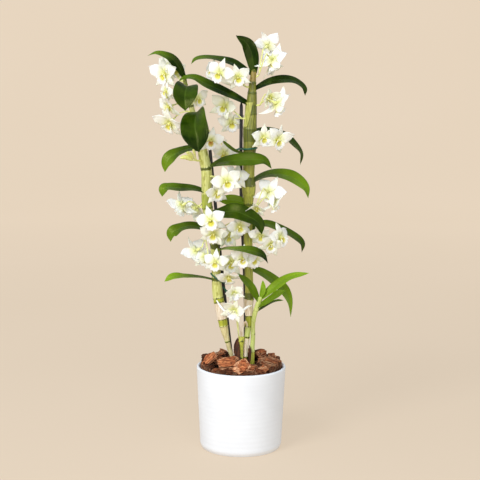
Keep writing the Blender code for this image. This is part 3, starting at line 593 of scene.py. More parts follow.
end_tree(stem_tree, swept(stem_tree, given["Geometry"], section), given["Material"])


def line_object(name, runs, closed=False):
    """Mesh lines for a tree to sweep. A run is its points in mm and the numbers kept on them."""
    points, edges, numbers = [], [], {}
    for places, values in runs:
        start = len(points)
        points.extend(np.asarray(places).tolist())
        edges.extend((k, k + 1) for k in range(start, len(points) - 1))
        if closed:
            edges.append((len(points) - 1, start))
        for title, column in values.items():
            numbers.setdefault(title, []).extend(np.asarray(column).tolist())
    return mesh_object(name, points, (), edges, numbers)


def stem(name, runs, look, sides, ribs=1, depth=0.0, closed=False):
    """Round stems along some runs, as one mesh."""
    settings = {"Sides": sides, "Ribs": ribs, "Rib depth": depth, "Material": look}
    return grown(line_object("stem_line", runs, closed), stem_tree, name, settings)


print("stem tree has", len(stem_tree.nodes), "nodes")

# %% [markdown]
# ## A tree that grows a blade along a line
#
# A leaf is a strap with a keel below and a groove above, folded a little like a roof turned
# over. Its section is drawn once and carried along the middle line, turned at every point
# so that its upper side looks where the leaf looks there. The section is a closed outline,
# so the leaf comes out as a closed solid that thins towards its edges.

# %% The blade tree
blade_tree, given = new_tree("blade", {"Section": "Object", "Material": "Material"})
drawn = node(blade_tree, "GeometryNodeObjectInfo", {"Object": given["Section"]})["Geometry"]
outline = node(blade_tree, "GeometryNodeMeshToCurve", {"Mesh": drawn})
facing = named(blade_tree, "facing", "FLOAT_VECTOR")
strap = swept(blade_tree, given["Geometry"], outline, facing)
end_tree(blade_tree, strap, given["Material"])


def section_object(name, across, top, bottom):
    """A closed outline, one unit for each half width: over the top and back underneath."""
    there, back = np.column_stack([top, across]), np.column_stack([bottom, across])[::-1]
    ring = np.vstack([there, back])
    points = np.column_stack([ring, np.zeros(len(ring))]) / MM
    edges = [(k, (k + 1) % len(ring)) for k in range(len(ring))]
    numbers = {"across": ring[:, 1], "upper": [1.0] * len(there) + [0.0] * len(back)}
    return mesh_object(name, points, (), edges, numbers)


def blade_run(path, look_base, look_tip, widths, sway=0.0, phase=0.0, turning=(0, 1)):
    """A run for the blade tree. Its look swings round over the turning share of its length."""
    count = len(widths)
    middle = smooth_path(path, count)
    s = np.linspace(0, 1, count)[:, None]
    ahead = unit(np.gradient(middle, axis=0))
    swung = np.clip((s - turning[0]) / (turning[1] - turning[0]), 0, 1)
    look = unit(look_base) * (1 - swung) + unit(look_tip) * swung
    side = unit(np.cross(ahead, look))
    upper = np.cross(side, ahead)
    lean = sway * np.sin(2 * math.pi * (1.6 * s + phase)) * s
    upper = upper * np.cos(lean) + side * np.sin(lean)
    numbers = {"thickness": np.asarray(widths) * MM, "facing": upper, "along": s[:, 0]}
    return middle, numbers


def blade(name, runs, section, look):
    """Blades along some runs, as one mesh."""
    settings = {"Section": section, "Material": look}
    return grown(line_object("blade_line", runs), blade_tree, name, settings)


print("blade tree has", len(blade_tree.nodes), "nodes")

# %% [markdown]
# ## The pot
#
# A plain cover pot in matt white stoneware. It is thrown on a wheel, so one outline turned
# round the middle makes it: foot, wall, rounded lip, inside and floor in one closed line.
# Very faint rings are left by the thrower's fingers. They are real here, a few hundredths of
# a millimetre deep.

# %% Turn the pot
POT_HEIGHT, RIM_RADIUS, BASE_RADIUS, FOOT_RADIUS = 121, 65, 59.6, 57.5
FOOT_HEIGHT, WALL, FLOOR, LIP_HEIGHT = 5.5, 4.5, 6, 2.2
FINGER_RINGS, UNEVENNESS = 0.05, 0.03
ROUND_STEPS = 144

heights = np.linspace(FOOT_HEIGHT, POT_HEIGHT - LIP_HEIGHT, 70)
walls = np.interp(heights, [FOOT_HEIGHT, POT_HEIGHT], [BASE_RADIUS, RIM_RADIUS])
# The rings and the unevenness go inwards on the whole, so that the pot keeps its size
walls += FINGER_RINGS * (np.sin(heights * 0.9) - 1)
walls += UNEVENNESS * (np.random.default_rng(4).standard_normal(len(heights)) - 1)
lip_middle = RIM_RADIUS - WALL / 2
pot_profile = [(0, 1.2), (FOOT_RADIUS - 9, 1.2), (FOOT_RADIUS - 6, 0), (FOOT_RADIUS - 0.8, 0)]
pot_profile += [(FOOT_RADIUS, 0.4), (BASE_RADIUS - 0.6, FOOT_HEIGHT - 1)]
pot_profile += [*zip(walls, heights)][:-1]
for a in np.linspace(0, math.pi, 9):
    over_lip = POT_HEIGHT - LIP_HEIGHT + LIP_HEIGHT * math.sin(a)
    pot_profile.append((lip_middle + WALL / 2 * math.cos(a), over_lip))
pot_profile += [(BASE_RADIUS - WALL, FLOOR + 4), (BASE_RADIUS - WALL - 4, FLOOR), (0, FLOOR)]
pot_skin = lathe([(0, 0, height, radius) for radius, height in pot_profile], ROUND_STEPS)
pot = mesh_object("fine_pot", *pot_skin)
pot.data.shade_smooth()

glaze, tree = new_look("matt white stoneware")
cloud, grit = speckle(tree, 18, detail=2.0), speckle(tree, 1800, detail=2.0)
white = mixed(step(cloud, 0.35, 0.65), (229, 232, 236), (234, 237, 241))
paint(glaze, Base_Color=white, Normal=bumped(grit, 0.012), Roughness=0.5, Specular_IOR_Level=0.35)
pot.data.materials.append(glaze)
keep(pot, "pot", "ceramic")

# %% [markdown]
# ## The canes
#
# A cane grows as a row of joints. Each joint swells, ends in a dark ring, and is wrapped in
# its youth by a sheath that later dries to pale paper. So one table says where each band
# begins and ends and of what kind it is, and it is read twice: the thickness of the stem
# takes small steps and rings from it, and the material takes its colours from it. Noise in
# the material tears the straight edges of the bands into ragged ones.

# %% Bands, rings and colours
CANE_BANDS = {
    "right": [
        ("olive", 127, 133), ("paper", 134, 161), ("fresh", 164, 179), ("lime", 180, 194),
        ("paper", 195, 219), ("olive", 220, 228), ("olive", 355, 358), ("olive", 384, 396),
        ("olive", 430, 437), ("olive", 447, 465), ("olive", 485, 500), ("olive", 514, 518),
        ("olive", 528, 532), ("olive", 545, 549), ("brown", 532, 550),
    ],
    "left": [
        ("straw", 118, 154), ("straw", 158, 179), ("lime", 180, 189), ("paper", 190, 214),
        ("lime", 213, 221), ("olive", 246, 252), ("olive", 293, 300), ("green", 350, 372),
        ("olive", 406, 411), ("green", 440, 470), ("olive", 495, 499), ("green", 500, 540),
    ],
    "shoot": [("bright", 110, 141), ("fresh", 139, 240)],
    "stub": [("bright", 110, 175)],
}
CANE_RINGS = {
    "right": (134, 163, 179, 194, 220, 228, 358, 384, 396, 436, 465, 487, 516, 530, 547),
    "left": (132, 156, 179, 190, 215, 221, 250, 300, 352, 409, 440, 470, 497, 527),
    "shoot": (142, 168, 188, 205),
    "stub": (133, 146, 158),
}
# The two colours of the streaks in each kind of band. A later kind lies over an earlier one
CANE_KINDS = {
    "green": ((172, 180, 72), (114, 124, 30)), "fresh": ((206, 216, 132), (176, 190, 84)),
    "lime": ((180, 184, 54), (134, 142, 30)), "bright": ((204, 204, 84), (158, 162, 46)),
    "brown": ((166, 146, 70), (110, 86, 34)), "olive": ((98, 106, 22), (62, 66, 10)),
    "straw": ((226, 214, 160), (190, 170, 108)), "paper": ((240, 228, 206), (190, 158, 112)),
}
RING_DARKNESS = {"right": 0.8, "left": 0.8, "shoot": 0.3, "stub": 0.45}
RIPENESS = {"right": 1.0, "left": 0.1, "shoot": 0.0, "stub": 0.3}  # how olive the skin has turned
# Painted shade: above DARKER_FROM the right cane is painted darker, over DARKER_OVER mm and by
# DARKER_BY past full ripeness
DARKER_FROM, DARKER_OVER, DARKER_BY = 405, 30, 0.4  # the right cane is darker above this height
rings = sum(map(len, CANE_RINGS.values()))
print("bands", sum(map(len, CANE_BANDS.values())), "rings", rings, "kinds", len(CANE_KINDS))

# %% The line of a cane
RING_SWELL, RING_REACH, RING_SHADE_REACH, SHEATH_STEP = 0.45, 1.1, 1.3, 0.4
BAND_FADE, PAPER_FADE, ROUNDED_END = 3.0, 1.5, 2.5
CANE_SPACING = 0.8


def stem_at(rows, height):
    """The middle of a stem and its radius at a height."""
    rows = np.array(rows, float)
    return [np.interp(height, rows[:, 2], rows[:, k]) for k in (0, 1, 2, 3)]


def cane_run(side):
    """The line of a cane with its thickness, and how much of each band there is."""
    rows = CANES[side]
    count = int((rows[-1][2] - rows[0][2]) / CANE_SPACING)
    line = smooth_path(rows, count)
    z, thickness = line[:, 2], line[:, 3].copy()
    numbers = {kind: np.zeros(count) for kind in CANE_KINDS}
    for kind, low, high in CANE_BANDS[side]:
        fade = PAPER_FADE if kind == "paper" else BAND_FADE
        inside = np.clip(np.minimum(z - low, high - z) / fade + 0.5, 0, 1)
        numbers[kind] = np.maximum(numbers[kind], inside)
        if kind == "paper":
            thickness += SHEATH_STEP * inside
    for ring in CANE_RINGS[side]:
        thickness += RING_SWELL * np.exp(-(((z - ring) / RING_REACH) ** 2))
        dark = RING_DARKNESS[side] * np.exp(-(((z - ring) / RING_SHADE_REACH) ** 2))
        numbers["olive"] = np.maximum(numbers["olive"], dark)
    numbers["ripe"] = np.full(count, RIPENESS[side])
    # Painted shade: above DARKER_FROM the ripe number of the right cane goes past 1, and the
    # material paints that part darker
    if side == "right":
        numbers["ripe"] += DARKER_BY * np.clip((z - DARKER_FROM) / DARKER_OVER, 0, 1)
    last = np.clip((z[-1] - z) / ROUNDED_END, 0, 1)
    thickness *= np.sqrt(1 - (1 - last) ** 2 * 0.9)
    numbers["thickness"] = thickness * MM
    return line[:, :3], numbers


print("points along the right cane:", len(cane_run("right")[0]))

# %% The skin of a cane, and the canes themselves
# Sides, ribs and depth of the ribs
OLD_CANE, YOUNG_CANE = (40, 17, 0.035), (24, 9, 0.02)

cane_look, tree = new_look("cane skin")
streaks = speckle(tree, 900, (1, 1, 0.045), 4.0)
blotches = speckle(tree, 160, (1, 1, 0.5), 4.0)
torn = (blotches + streaks * 0.9 - 0.95) * 1.6
ripeness = number(tree, "ripe")
pale = mixed(step(streaks, 0.38, 0.64), (224, 224, 150), (190, 190, 96))
ripe = mixed(step(streaks, 0.36, 0.7), (190, 190, 80), (98, 100, 18))
# Painted shade: old is the darker colour that the right cane is painted with above DARKER_FROM
old = mixed(step(streaks, 0.36, 0.66), (146, 147, 50), (80, 82, 16))
skin = mixed(ripeness, pale, ripe)
skin = mixed(step(blotches, 0.54, 0.68), skin, (160, 158, 64))
skin = mixed(step(ripeness, 1.0, 1.0 + DARKER_BY), skin, old)
for kind, colours in CANE_KINDS.items():
    here = step(number(tree, kind) + torn, 0.42, 0.58)
    skin = mixed(here, skin, mixed(step(streaks, 0.42, 0.7), *colours))
furrows = bumped(streaks + blotches * 0.5, 0.35)
paint(cane_look, Base_Color=skin, Normal=furrows, Roughness=0.42)

for side in CANES:
    build = YOUNG_CANE if side in ("shoot", "stub") else OLD_CANE
    cane = stem("fine_cane_" + side, [cane_run(side)], cane_look, *build)
    keep(cane, "cane_" + side, "cane")

# %% [markdown]
# ## Stakes and ties
#
# Two thin black stakes hold the heavy canes up, and a green wire goes once round each cane
# and its stake. A wire pulled tight follows the outside of both, so at every angle the loop
# takes whichever of the two reaches further. Its ends are twisted together: two strands
# that wind round one line, half a turn apart.

# %% Sweep the stakes
STAKE_STEPS, STAKE_END = 160, (0.95, 0.75, 0.35)

stake_look = speckled_look(
    "black stake", grains=(500, (1, 1, 0.15), 4.0), share=(0.45, 0.75),
    colours=((24, 23, 25), (62, 56, 52)), relief=0.15, roughness=0.45,
)
for side, places in STAKES.items():
    thickness = np.full(STAKE_STEPS, STAKE_RADIUS)
    thickness[-3:] *= STAKE_END
    run = smooth_path(places, STAKE_STEPS), {"thickness": thickness * MM}
    stake = stem("fine_stake_" + side, [run], stake_look, 20, 6, 0.02)
    keep(stake, "stake_" + side, "stake")

# %% Wind the ties
WIRE_RADIUS, STRAND_RADIUS, STRAND_TIP, WIRE_SLACK, LOOP_POINTS = 1.1, 0.75, 0.4, 0.4, 72
# The twisted ends of each wire: where they start and stop, and how often they wind
TIE_ENDS = {
    "right": ((-5.5, 6.0, 435.5), (-12, 1.0, 434), 1.5),
    "left": ((-27, 4.5, 236), (-20.5, 0.5, 229), 1.5),
}
tie_look = speckled_look(
    "green wire", grains=(700,), share=(0.4, 0.7),
    colours=((8, 78, 56), (24, 104, 74)), relief=0.08, roughness=0.4,
)


def tie_loop(side):
    """A closed wire pulled round a cane and its stake."""
    height, rise = TIES[side]
    both = CANES[side], [(*place, STAKE_RADIUS) for place in STAKES[side]]
    near = [stem_at(rows, height)[0] for rows in both]
    middle = sum(near) / 2
    held = [stem_at(rows, height + rise * (x - middle)) for rows, x in zip(both, near)]
    points = []
    for a in np.linspace(0, 2 * math.pi, LOOP_POINTS, endpoint=False):
        out = np.array([math.cos(a), math.sin(a)])
        ends = [np.array(h[:2]) + out * (h[3] + WIRE_RADIUS + WIRE_SLACK) for h in held]
        x, y = max(ends, key=out.dot)
        points.append((x, y, height + rise * (x - middle)))
    return np.array(points)


def twisted_pair(start, end, turns):
    """Two strands that wind round one straight line, and part a little at its end."""
    start, end = np.array(start, float), np.array(end, float)
    s = np.linspace(0, 1, 24)[:, None]
    ahead = unit(end - start)
    side = unit(np.cross(ahead, (0, 0.3, 1)))
    over = np.cross(ahead, side)
    strands = []
    for half in (0, math.pi):
        a = 2 * math.pi * turns * s + half
        spread = STRAND_RADIUS + 1.2 * s**6
        strands.append(start + (end - start) * s + (side * np.cos(a) + over * np.sin(a)) * spread)
    return strands


for side, twist in TIE_ENDS.items():
    loop = tie_loop(side), {"thickness": np.full(LOOP_POINTS, WIRE_RADIUS * MM)}
    ring = stem("fine_tie_" + side, [loop], tie_look, 12, closed=True)
    runs = []
    for strand in twisted_pair(*twist):
        thickness = np.full(len(strand), STRAND_RADIUS)
        thickness[-1] = STRAND_TIP
        runs.append((strand, {"thickness": thickness * MM}))
    merge(ring, stem("tie_ends", runs, tie_look, 12))
    keep(ring, "tie_" + side, "tie")

# %% [markdown]
# ## The leaves
#
# A leaf starts narrow where it clasps the cane, is widest before its middle and ends blunt.
# Old leaves are dark and glossy above and dull below, and their drooping ends let yellow light
# through. So the material reads three kept numbers: how light the leaf is painted there, which
# paints in that light through the ends and the shade on parts that look away from the lamp as well
# as the paler green of young leaves, whether it is on the upper or the under side, and how far
# across, where the fine parallel veins run.

# %% The section and the outline of a leaf
LEAF_FOLD, HEART_FOLD, LEAF_STEPS, LEAF_SWAY = 0.22, 0.42, 56, 0.16
# Share of the length at which a leaf is widest, share of the width that is gone at its base,
# and how blunt it is at its tip
LEAF_OUTLINE = (0.4, 0.62, 2.6)
HEART_OUTLINE = (0.7, 1.35, 1.9)
BROAD_END_OUTLINE = (0.62, 0.5, 2.1)
HEARTS = ("leaf_left_2", "leaf_left_3")  # these two arch forward, and show as a heart
BROAD_ENDS = ("leaf_left_4", "leaf_left_5", "leaf_left_6", "leaf_left_7")
YOUNG_LEAVES = ("leaf_left_7", "leaf_shoot_2", "leaf_shoot_3", "leaf_shoot_4")
# These lie flat, seen nearly edge on, until their end turns over and faces the viewer
LATE_TURNS = {
    "leaf_left_4": (0.45, 0.85), "leaf_left_5": (0.6, 0.88), "leaf_left_6": (0.5, 0.85),
    "leaf_left_7": (0.55, 0.85), "leaf_left_1": (0.3, 0.7),
}
TONE_SPAN = (0.35, 0.8)  # shares of the length between which the tip's tone takes over


def leaf_section(name, fold):
    """The section of a leaf: folded up from its midrib, with a keel below and fine ribs."""
    across = np.linspace(-1, 1, 29)
    roof = fold * (np.sqrt(across**2 + 0.006) - 0.0775) * 1.08 - 0.05 * across**6
    roof += 0.006 * np.cos(across * 40) * (1 - across**2)
    keel = 0.045 * np.exp(-((across / 0.07) ** 2))
    depth = 0.02 + 0.07 * np.sqrt(1 - across**2) + keel
    return section_object(name, across, roof + 0.02, roof - depth)


plain_section = leaf_section("plain_section", LEAF_FOLD)
heart_section = leaf_section("heart_section", HEART_FOLD)


def leaf_widths(half_width, widest, narrowing, bluntness):
    """Half the width of a leaf at each step along it."""
    s = np.linspace(0, 1, LEAF_STEPS)
    rising = 1 - narrowing * (1 - s / widest) ** 2
    beyond = np.maximum(s - widest, 0) / (1 - widest)
    return half_width * np.maximum(np.where(s < widest, rising, 1 - beyond**bluntness), 0.05)


print("a plain leaf 10 wide either way is widest with", leaf_widths(10, *LEAF_OUTLINE).max())

# %% The leaf's material
leaf_look, tree = new_look("leaf")
tone, upper, sideways = (number(tree, title) for title in ("tone", "upper", "across"))
patches, fine = speckle(tree, 45), speckle(tree, 600)
veins = maths("SINE", sideways * 46.0)
groove = 1.0 - step(maths("ABSOLUTE", sideways), 0.0, 0.09)
# Painted light and shade: the kept tone makes the green lighter where light comes through the
# drooping ends and darker where a part looks away from the lamp, besides the paler green of young
# leaves
lightness = step(tone + (patches - 0.5) * 0.35, 0.0, 1.0)
top = mixed(lightness, (7, 33, 0), (138, 173, 34))
top = mixed(groove * (tone * 0.6 + 0.12), top, (110, 140, 60))
top = mixed(step(veins, 0.2, 1.0) * 0.14, top, (8, 30, 0))
under = mixed(lightness, (62, 86, 26), (150, 180, 60))
paint(leaf_look, Base_Color=mixed(upper, under, top), Normal=bumped(veins * 0.35 + fine, 0.1),
      Roughness=0.6 - upper * 0.33, Specular_IOR_Level=0.2, Specular_Tint=(1.0, 0.96, 0.35, 1.0),
      Subsurface_Weight=0.08, Subsurface_Radius=(0.4, 1.0, 0.15), Subsurface_Scale=0.001)
print("the leaf's material has", len(tree.nodes), "nodes")

# %% The sheath that one leaf keeps
SHEATH_LEAF, SHEATH_LOW, SHEATH_HIGH = "leaf_right_4", 468, 503
SHEATH_FROM, SHEATH_TO = -185, -80  # degrees round the cane, -90 is the front


def leaf_sheath():
    """The foot of a leaf that still wraps the front of its cane, pointed at its lower end. It has
    dried as pale as young cane, so it takes that material."""
    rows, columns = 22, 15
    z = np.linspace(SHEATH_LOW, SHEATH_HIGH, rows)[:, None]
    s = (z - SHEATH_LOW) / (SHEATH_HIGH - SHEATH_LOW)
    t = np.linspace(-1, 1, columns)[None, :]
    middle, half = (SHEATH_FROM + SHEATH_TO) / 2, (SHEATH_TO - SHEATH_FROM) / 2
    angle = np.radians(middle + half * t * (0.35 + 0.65 * np.sqrt(s)) - 14 * (1 - s))
    x, y, _, radius = stem_at(CANES["right"], z)
    out = radius + 0.7 + 0.9 * s**3
    grid = np.stack([x + out * np.cos(angle), y + out * np.sin(angle), z + 0 * t], axis=-1)
    points, faces = shell(grid, 0.5)
    sheath = mesh_object("sheath", points, faces, (), {"ripe": np.full(len(points), 0.7)})
    sheath.data.materials.append(cane_look)
    sheath.data.shade_smooth()
    return sheath


print("the sheath is", SHEATH_HIGH - SHEATH_LOW, "mm high")

# %% Grow the twenty-five leaves
rows = [
    ("leaf_%s_%d" % (side, k), row) for side in LEAVES for k, row in enumerate(LEAVES[side], 1)
]
for k, (name, (half_width, look_base, look_tip, tones, places)) in enumerate(rows):
    heart = name in HEARTS
    shape = HEART_OUTLINE if heart else BROAD_END_OUTLINE if name in BROAD_ENDS else LEAF_OUTLINE
    widths, sway = leaf_widths(half_width, *shape), 0.0 if heart else LEAF_SWAY
    turning = LATE_TURNS.get(name, (0, 1))
    run, numbers = blade_run(places, look_base, look_tip, widths, sway, k * 0.37, turning)
    numbers["tone"] = np.interp(numbers["along"], TONE_SPAN, tones)
    leaf_fold = heart_section if heart else plain_section
    leaf = blade("fine_" + name, [(run, numbers)], leaf_fold, leaf_look)
    if name == SHEATH_LEAF:
        merge(leaf, leaf_sheath())
    keep(leaf, name, "young_leaf" if name in YOUNG_LEAVES else "leaf")

# %% [markdown]
# ## One bloom
#
# The bloom has three long narrow sepals, two broad wavy petals and a lip, which rolls round
# the short column and opens into a wide ruffled apron with a yellow-green disc in its
# throat. Each of them is a grid of points, from its base to its tip and from edge to edge.
# A thin closed shell is laid round the grid, because a real petal has two sides and an edge.

# %% A sepal or a petal
TEPAL_ROWS, TEPAL_COLUMNS = 15, 9
# Each outline is pairs of share of the length and share of the half width, smoothed
SEPAL_OUTLINE = [(0, 0.5), (0.18, 0.88), (0.38, 1), (0.62, 0.78), (0.84, 0.36), (1, 0.02)]
PETAL_OUTLINE = [
    (0, 0.24), (0.14, 0.52), (0.32, 0.9), (0.5, 1), (0.7, 0.78), (0.88, 0.36), (1, 0.03),
]
# Angle from straight up, length and half width of each, and whether it is a petal
TEPALS = [
    (-130, 22, 5.4, False), (-66, 22, 8.2, True), (0, 21.5, 5.2, False), (66, 22, 8.2, True),
    (130, 22, 5.4, False),
]
TEPAL_START, MOST_TURN = 1.3, 9  # mm from the middle of the bloom, and degrees either way


def tepal_grid(angle, length, half_width, petal, lifts, rng):
    """One sepal or petal. It lies in the plane of the bloom, and comes forward towards -Y."""
    outline = PETAL_OUTLINE if petal else SEPAL_OUTLINE
    rows = smooth_path([(*pair, 0) for pair in outline], TEPAL_ROWS)
    s, width = rows[:, :1], np.maximum(rows[:, 1:2], 0.05) * half_width
    t = np.linspace(-1, 1, TEPAL_COLUMNS)[None, :]
    turn = math.radians(angle + rng.uniform(-MOST_TURN, MOST_TURN))
    lift = rng.uniform(*lifts)
    out = np.array([math.sin(turn), 0, math.cos(turn)])
    aside = np.array([math.cos(turn), 0, -math.sin(turn)])
    ripple = rng.uniform(1.2, 2.5) * np.abs(t) ** 1.5 * np.sqrt(s) * (1.05 - s)
    waves = rng.uniform(1.6, 2.6) * s + rng.uniform(0, 1) + 0.25 * t
    ripple = ripple * np.sin(2 * math.pi * waves)
    if petal:
        forward = 1.0 + 3.6 * np.sin(math.pi * 0.72 * s) - 0.6 * (1 - t**2) * s
        forward = forward + math.copysign(1.1, angle) * -t * s + 1.2 * ripple
    else:
        curl = rng.uniform(-3.2, -0.6)
        forward = 0.5 + 1.6 * np.sin(math.pi * s) + curl * s**3 - 1.1 * t**2 * s + 0.8 * ripple
    forward = forward + lift * length * s**1.3 + rng.uniform(-0.55, 0.55) * width * t * s
    forward = forward + rng.uniform(-3.5, 3.5) * s**3
    reach = TEPAL_START + (length * (1 - 0.35 * lift**2) - TEPAL_START) * s + 0 * t
    swerve = rng.uniform(-1.4, 1.4) * s**2
    place = reach[..., None] * out + (width * t + swerve)[..., None] * aside
    place[..., 1] -= forward
    return place, s + 0 * t, t + 0 * s


print("a bloom has", len(TEPALS), "tepals of", TEPAL_ROWS, "by", TEPAL_COLUMNS, "points")

# %% The lip
LIP_ROWS, LIP_COLUMNS = 12, 23
# How far in front of the middle it starts, its length, and how wide it is and opens, in mm
LIP_START, LIP_LENGTH, LIP_THROAT, LIP_FLARE = 1.9, 12.0, 2.0, 4.9
LIP_HALF_ANGLE, LIP_DROP = 122, 38  # how far it reaches round, and how far it hangs down


def lip_grid(rng):
    """The lip: a tube that is open at the top and flares into a ruffled apron."""
    s = np.linspace(0, 1, LIP_ROWS)[:, None]
    t = np.linspace(-1, 1, LIP_COLUMNS)[None, :]
    drop = math.radians(LIP_DROP)
    ahead = np.array([0, -math.cos(drop), -math.sin(drop)])
    upward = np.array([0, -math.sin(drop), math.cos(drop)])
    a = math.radians(LIP_HALF_ANGLE) * t
    front = np.cos(a / 2) ** 2
    ruffle = 0.75 * s**2.5 * np.sin(6.5 * math.pi * t + rng.uniform(0, 6))
    ring = LIP_THROAT + LIP_FLARE * s**1.35 + 0.6 * ruffle
    far = LIP_LENGTH * s * (0.72 + 0.36 * front) - 2.6 * s**4 * (1 - 0.4 * front) + ruffle
    curl = 1.7 * s**4 * front
    place = np.zeros((LIP_ROWS, LIP_COLUMNS, 3)) + np.array([0, -LIP_START, 0])
    place = place + far[..., None] * ahead
    place[..., 0] += ring * np.sin(a) * 1.12
    place = place - ((ring * np.cos(a) + curl)[..., None]) * upward
    return place, s + 0 * t, t + 0 * s


print("the lip has", LIP_ROWS, "by", LIP_COLUMNS, "points")

# %% One bloom
PETAL_THICKNESS, ROUND_SIDES = 0.5, 12
# The middle and the radius of each ring of the column and of the ovary, from front to back
COLUMN = [
    (0, -5.4, -0.6, 0), (0, -5.4, -0.6, 0.75), (0, -4.6, 0.1, 1.5), (0, -3.2, 0.4, 1.3393),
    (0, -1, 0.3, 1.2857), (0, 1.5, 0.2, 1.3929), (0, 1.5, 0.2, 0),
]
STALK_START = 11
OVARY = [
    (0, 0.2, 0, 0), (0, 0.2, 0, 1.2), (0, 1.6, 0, 1.9), (0, 4, 0, 1.75), (0, 7, 0, 1.3),
    (0, 9.5, 0, 1.0), (0, STALK_START, 0, 0.85), (0, STALK_START, 0, 0),
]


def bloom_template(name, seed, lifts, freshness, warmth):
    """One bloom of its own shape at the origin, facing -Y. Lifts say how far its tepals lean
    forward, freshness how green they still are, and warmth how orange its throat is."""
    rng = np.random.default_rng(seed)
    parts = []
    for tepal in TEPALS:
        grid, s, t = tepal_grid(*tepal, lifts, rng)
        base = freshness + 0.85 * np.clip(1 - s / 0.45, 0, 1) + (0 if tepal[3] else 0.15 * s**2)
        green = np.concatenate([base.ravel(), base.ravel() + 0.14])
        numbers = {"throat": 0, "green": green, "across": np.tile(t.ravel(), 2)}
        parts.append((*shell(grid, PETAL_THICKNESS), numbers))
    grid, s, t = lip_grid(rng)
    disc = np.tile(np.clip(1 - (s / 0.78) ** 2 - 0.45 * t**2, 0, 1).ravel(), 2)
    numbers = {"throat": disc, "green": 0.2 * disc, "across": np.tile(t.ravel(), 2) * 1.5}
    parts.append((*shell(grid, PETAL_THICKNESS), numbers))
    for rows, throat, green in ((COLUMN, 0.42, 0.5), (OVARY, 0, 0.75)):
        numbers = {"throat": throat, "green": green, "across": 0}
        parts.append((*lathe(rows, ROUND_SIDES, (0, 0, -1)), numbers))
    *skin, numbers = together(parts)
    numbers["throat"] *= 1 + min(warmth, 0)
    numbers["warm"] = numbers["throat"] * warmth
    template = mesh_object(name, *skin, numbers)
    template.data.shade_smooth()
    return template


print("a bloom reaches", STALK_START, "mm back to its stalk")

# %% The petal's material
petal_look, tree = new_look("white petal")
veining = maths("SINE", number(tree, "across") * 30.0)
mottle = speckle(tree, 260)
white = mixed(step(mottle, 0.35, 0.7), (255, 254, 250), (248, 247, 240))
tinted = mixed(step(number(tree, "green"), 0.02, 0.85), white, (226, 228, 140))
gold = mixed(step(number(tree, "throat"), 0.1, 0.62), tinted, (216, 208, 88))
gold = mixed(step(number(tree, "warm"), 0.3, 0.8), gold, (200, 152, 84))
paint(petal_look, Base_Color=gold, Normal=bumped(veining * 0.4 + mottle, 0.12), Roughness=0.5,
      Specular_IOR_Level=0.3, Subsurface_Weight=0.6, Subsurface_Radius=(1.0, 0.98, 0.9),
      Subsurface_Scale=0.0018)
print("the petal's material has", len(tree.nodes), "nodes")

# %% The kinds of bloom
# Seed, least and most lift, freshness and warmth
BLOOM_KINDS = [
    (20, (-0.15, 0.3), 0.0, 0.0), (21, (-0.35, 0.25), 0.04, 0.0), (22, (0.25, 0.65), 0.12, 0.0),
    (23, (-0.5, 0.0), 0.0, 0.0), (26, (-0.1, 0.5), 0.06, 0.0), (27, (-0.4, 0.35), 0.0, 0.0),
    (24, (-0.1, 0.35), 0.0, 0.55), (25, (-0.1, 0.3), 0.0, 0.9), (28, (0.5, 0.75), 0.1, -0.7),
]
PLAIN_KINDS = 6  # the first few, which the blooms take in turn
templates = [bloom_template("bloom_kind_%d" % k, *kind) for k, kind in enumerate(BLOOM_KINDS)]
bloom_kinds = gather("bloom kinds", templates)
print("one bloom has", sum(len(f.vertices) - 2 for f in templates[0].data.polygons), "triangles")

# %% [markdown]
# ## Bunches of blooms
#
# Nearly fifty blooms are the same few shapes turned and sized anew. A tree puts one of the nine
# kinds on each point of a bunch, with the turn, the size and the kind that the point carries,
# and sweeps the stalks that join them to the cane. Everything is then made real and becomes
# one mesh for each node of the CAD model.

# %% The bunch tree
def planted(tree, points, group, turn, size, which=None):
    """One thing of a group on each point, turned and sized anew. Which says which one it is,
    and without it they take turns."""
    inputs = {"Collection": group, "Separate Children": True, "Reset Children": True}
    inputs = {"Instance": node(tree, "GeometryNodeCollectionInfo", inputs), "Scale": size}
    inputs["Rotation"] = node(tree, "FunctionNodeEulerToRotation", {0: turn})
    inputs.update({"Points": points, "Pick Instance": True})
    if which:
        inputs["Instance Index"] = which
    return node(tree, "GeometryNodeInstanceOnPoints", inputs)


bunch_inputs = {"Kinds": "Collection", "Stalks": "Object", "Material": "Material"}
bunch_tree, given = new_tree("bunch", bunch_inputs)
blooms = planted(
    bunch_tree, given["Geometry"], given["Kinds"], named(bunch_tree, "turned", "FLOAT_VECTOR"),
    named(bunch_tree, "size"), named(bunch_tree, "kind", "INT"),
)
drawn = node(bunch_tree, "GeometryNodeObjectInfo", {"Object": given["Stalks"]})["Geometry"]
inputs = {"Resolution": 10, "Radius": 1.0}
stalks = swept(bunch_tree, drawn, node(bunch_tree, "GeometryNodeCurvePrimitiveCircle", inputs))
both = node(bunch_tree, "GeometryNodeJoinGeometry", {0: [blooms, stalks]})
end_tree(bunch_tree, both, given["Material"])
print("bunch tree has", len(bunch_tree.nodes), "nodes")

# %% Stalks, and the dry top of the cut cane
STALK_STEPS = 16
PEDUNCLE_REACH = 5  # how far past the stem's skin the stalks of a bunch part
PEDUNCLE_RADII = (1.7, 1.5, 1.1)
# What is left of the cut cane's top: two shrivelled strips of papery sheath, in mm
REMNANT_STRIPS = [
    [(1, -5, 158), (0, -6, 170), (3, -7, 182), (6, -7, 187), (8, -7, 184), (8, -6, 178)],
    [(-2, -5, 158), (-4, -6, 168), (-3, -7, 178), (-6, -8, 188)],
]
STRIP_HALF_WIDTH, STRIP_STEPS, STRIP_SWAY = 2.0, 30, 0.5
DRY_FRONT = (0.2, -1, 0.1)  # where dry strips and sheaths look


def spaced(count, shares, values):
    """Values in even steps, from those at some shares of the way."""
    return np.interp(np.linspace(0, 1, count), shares, values)


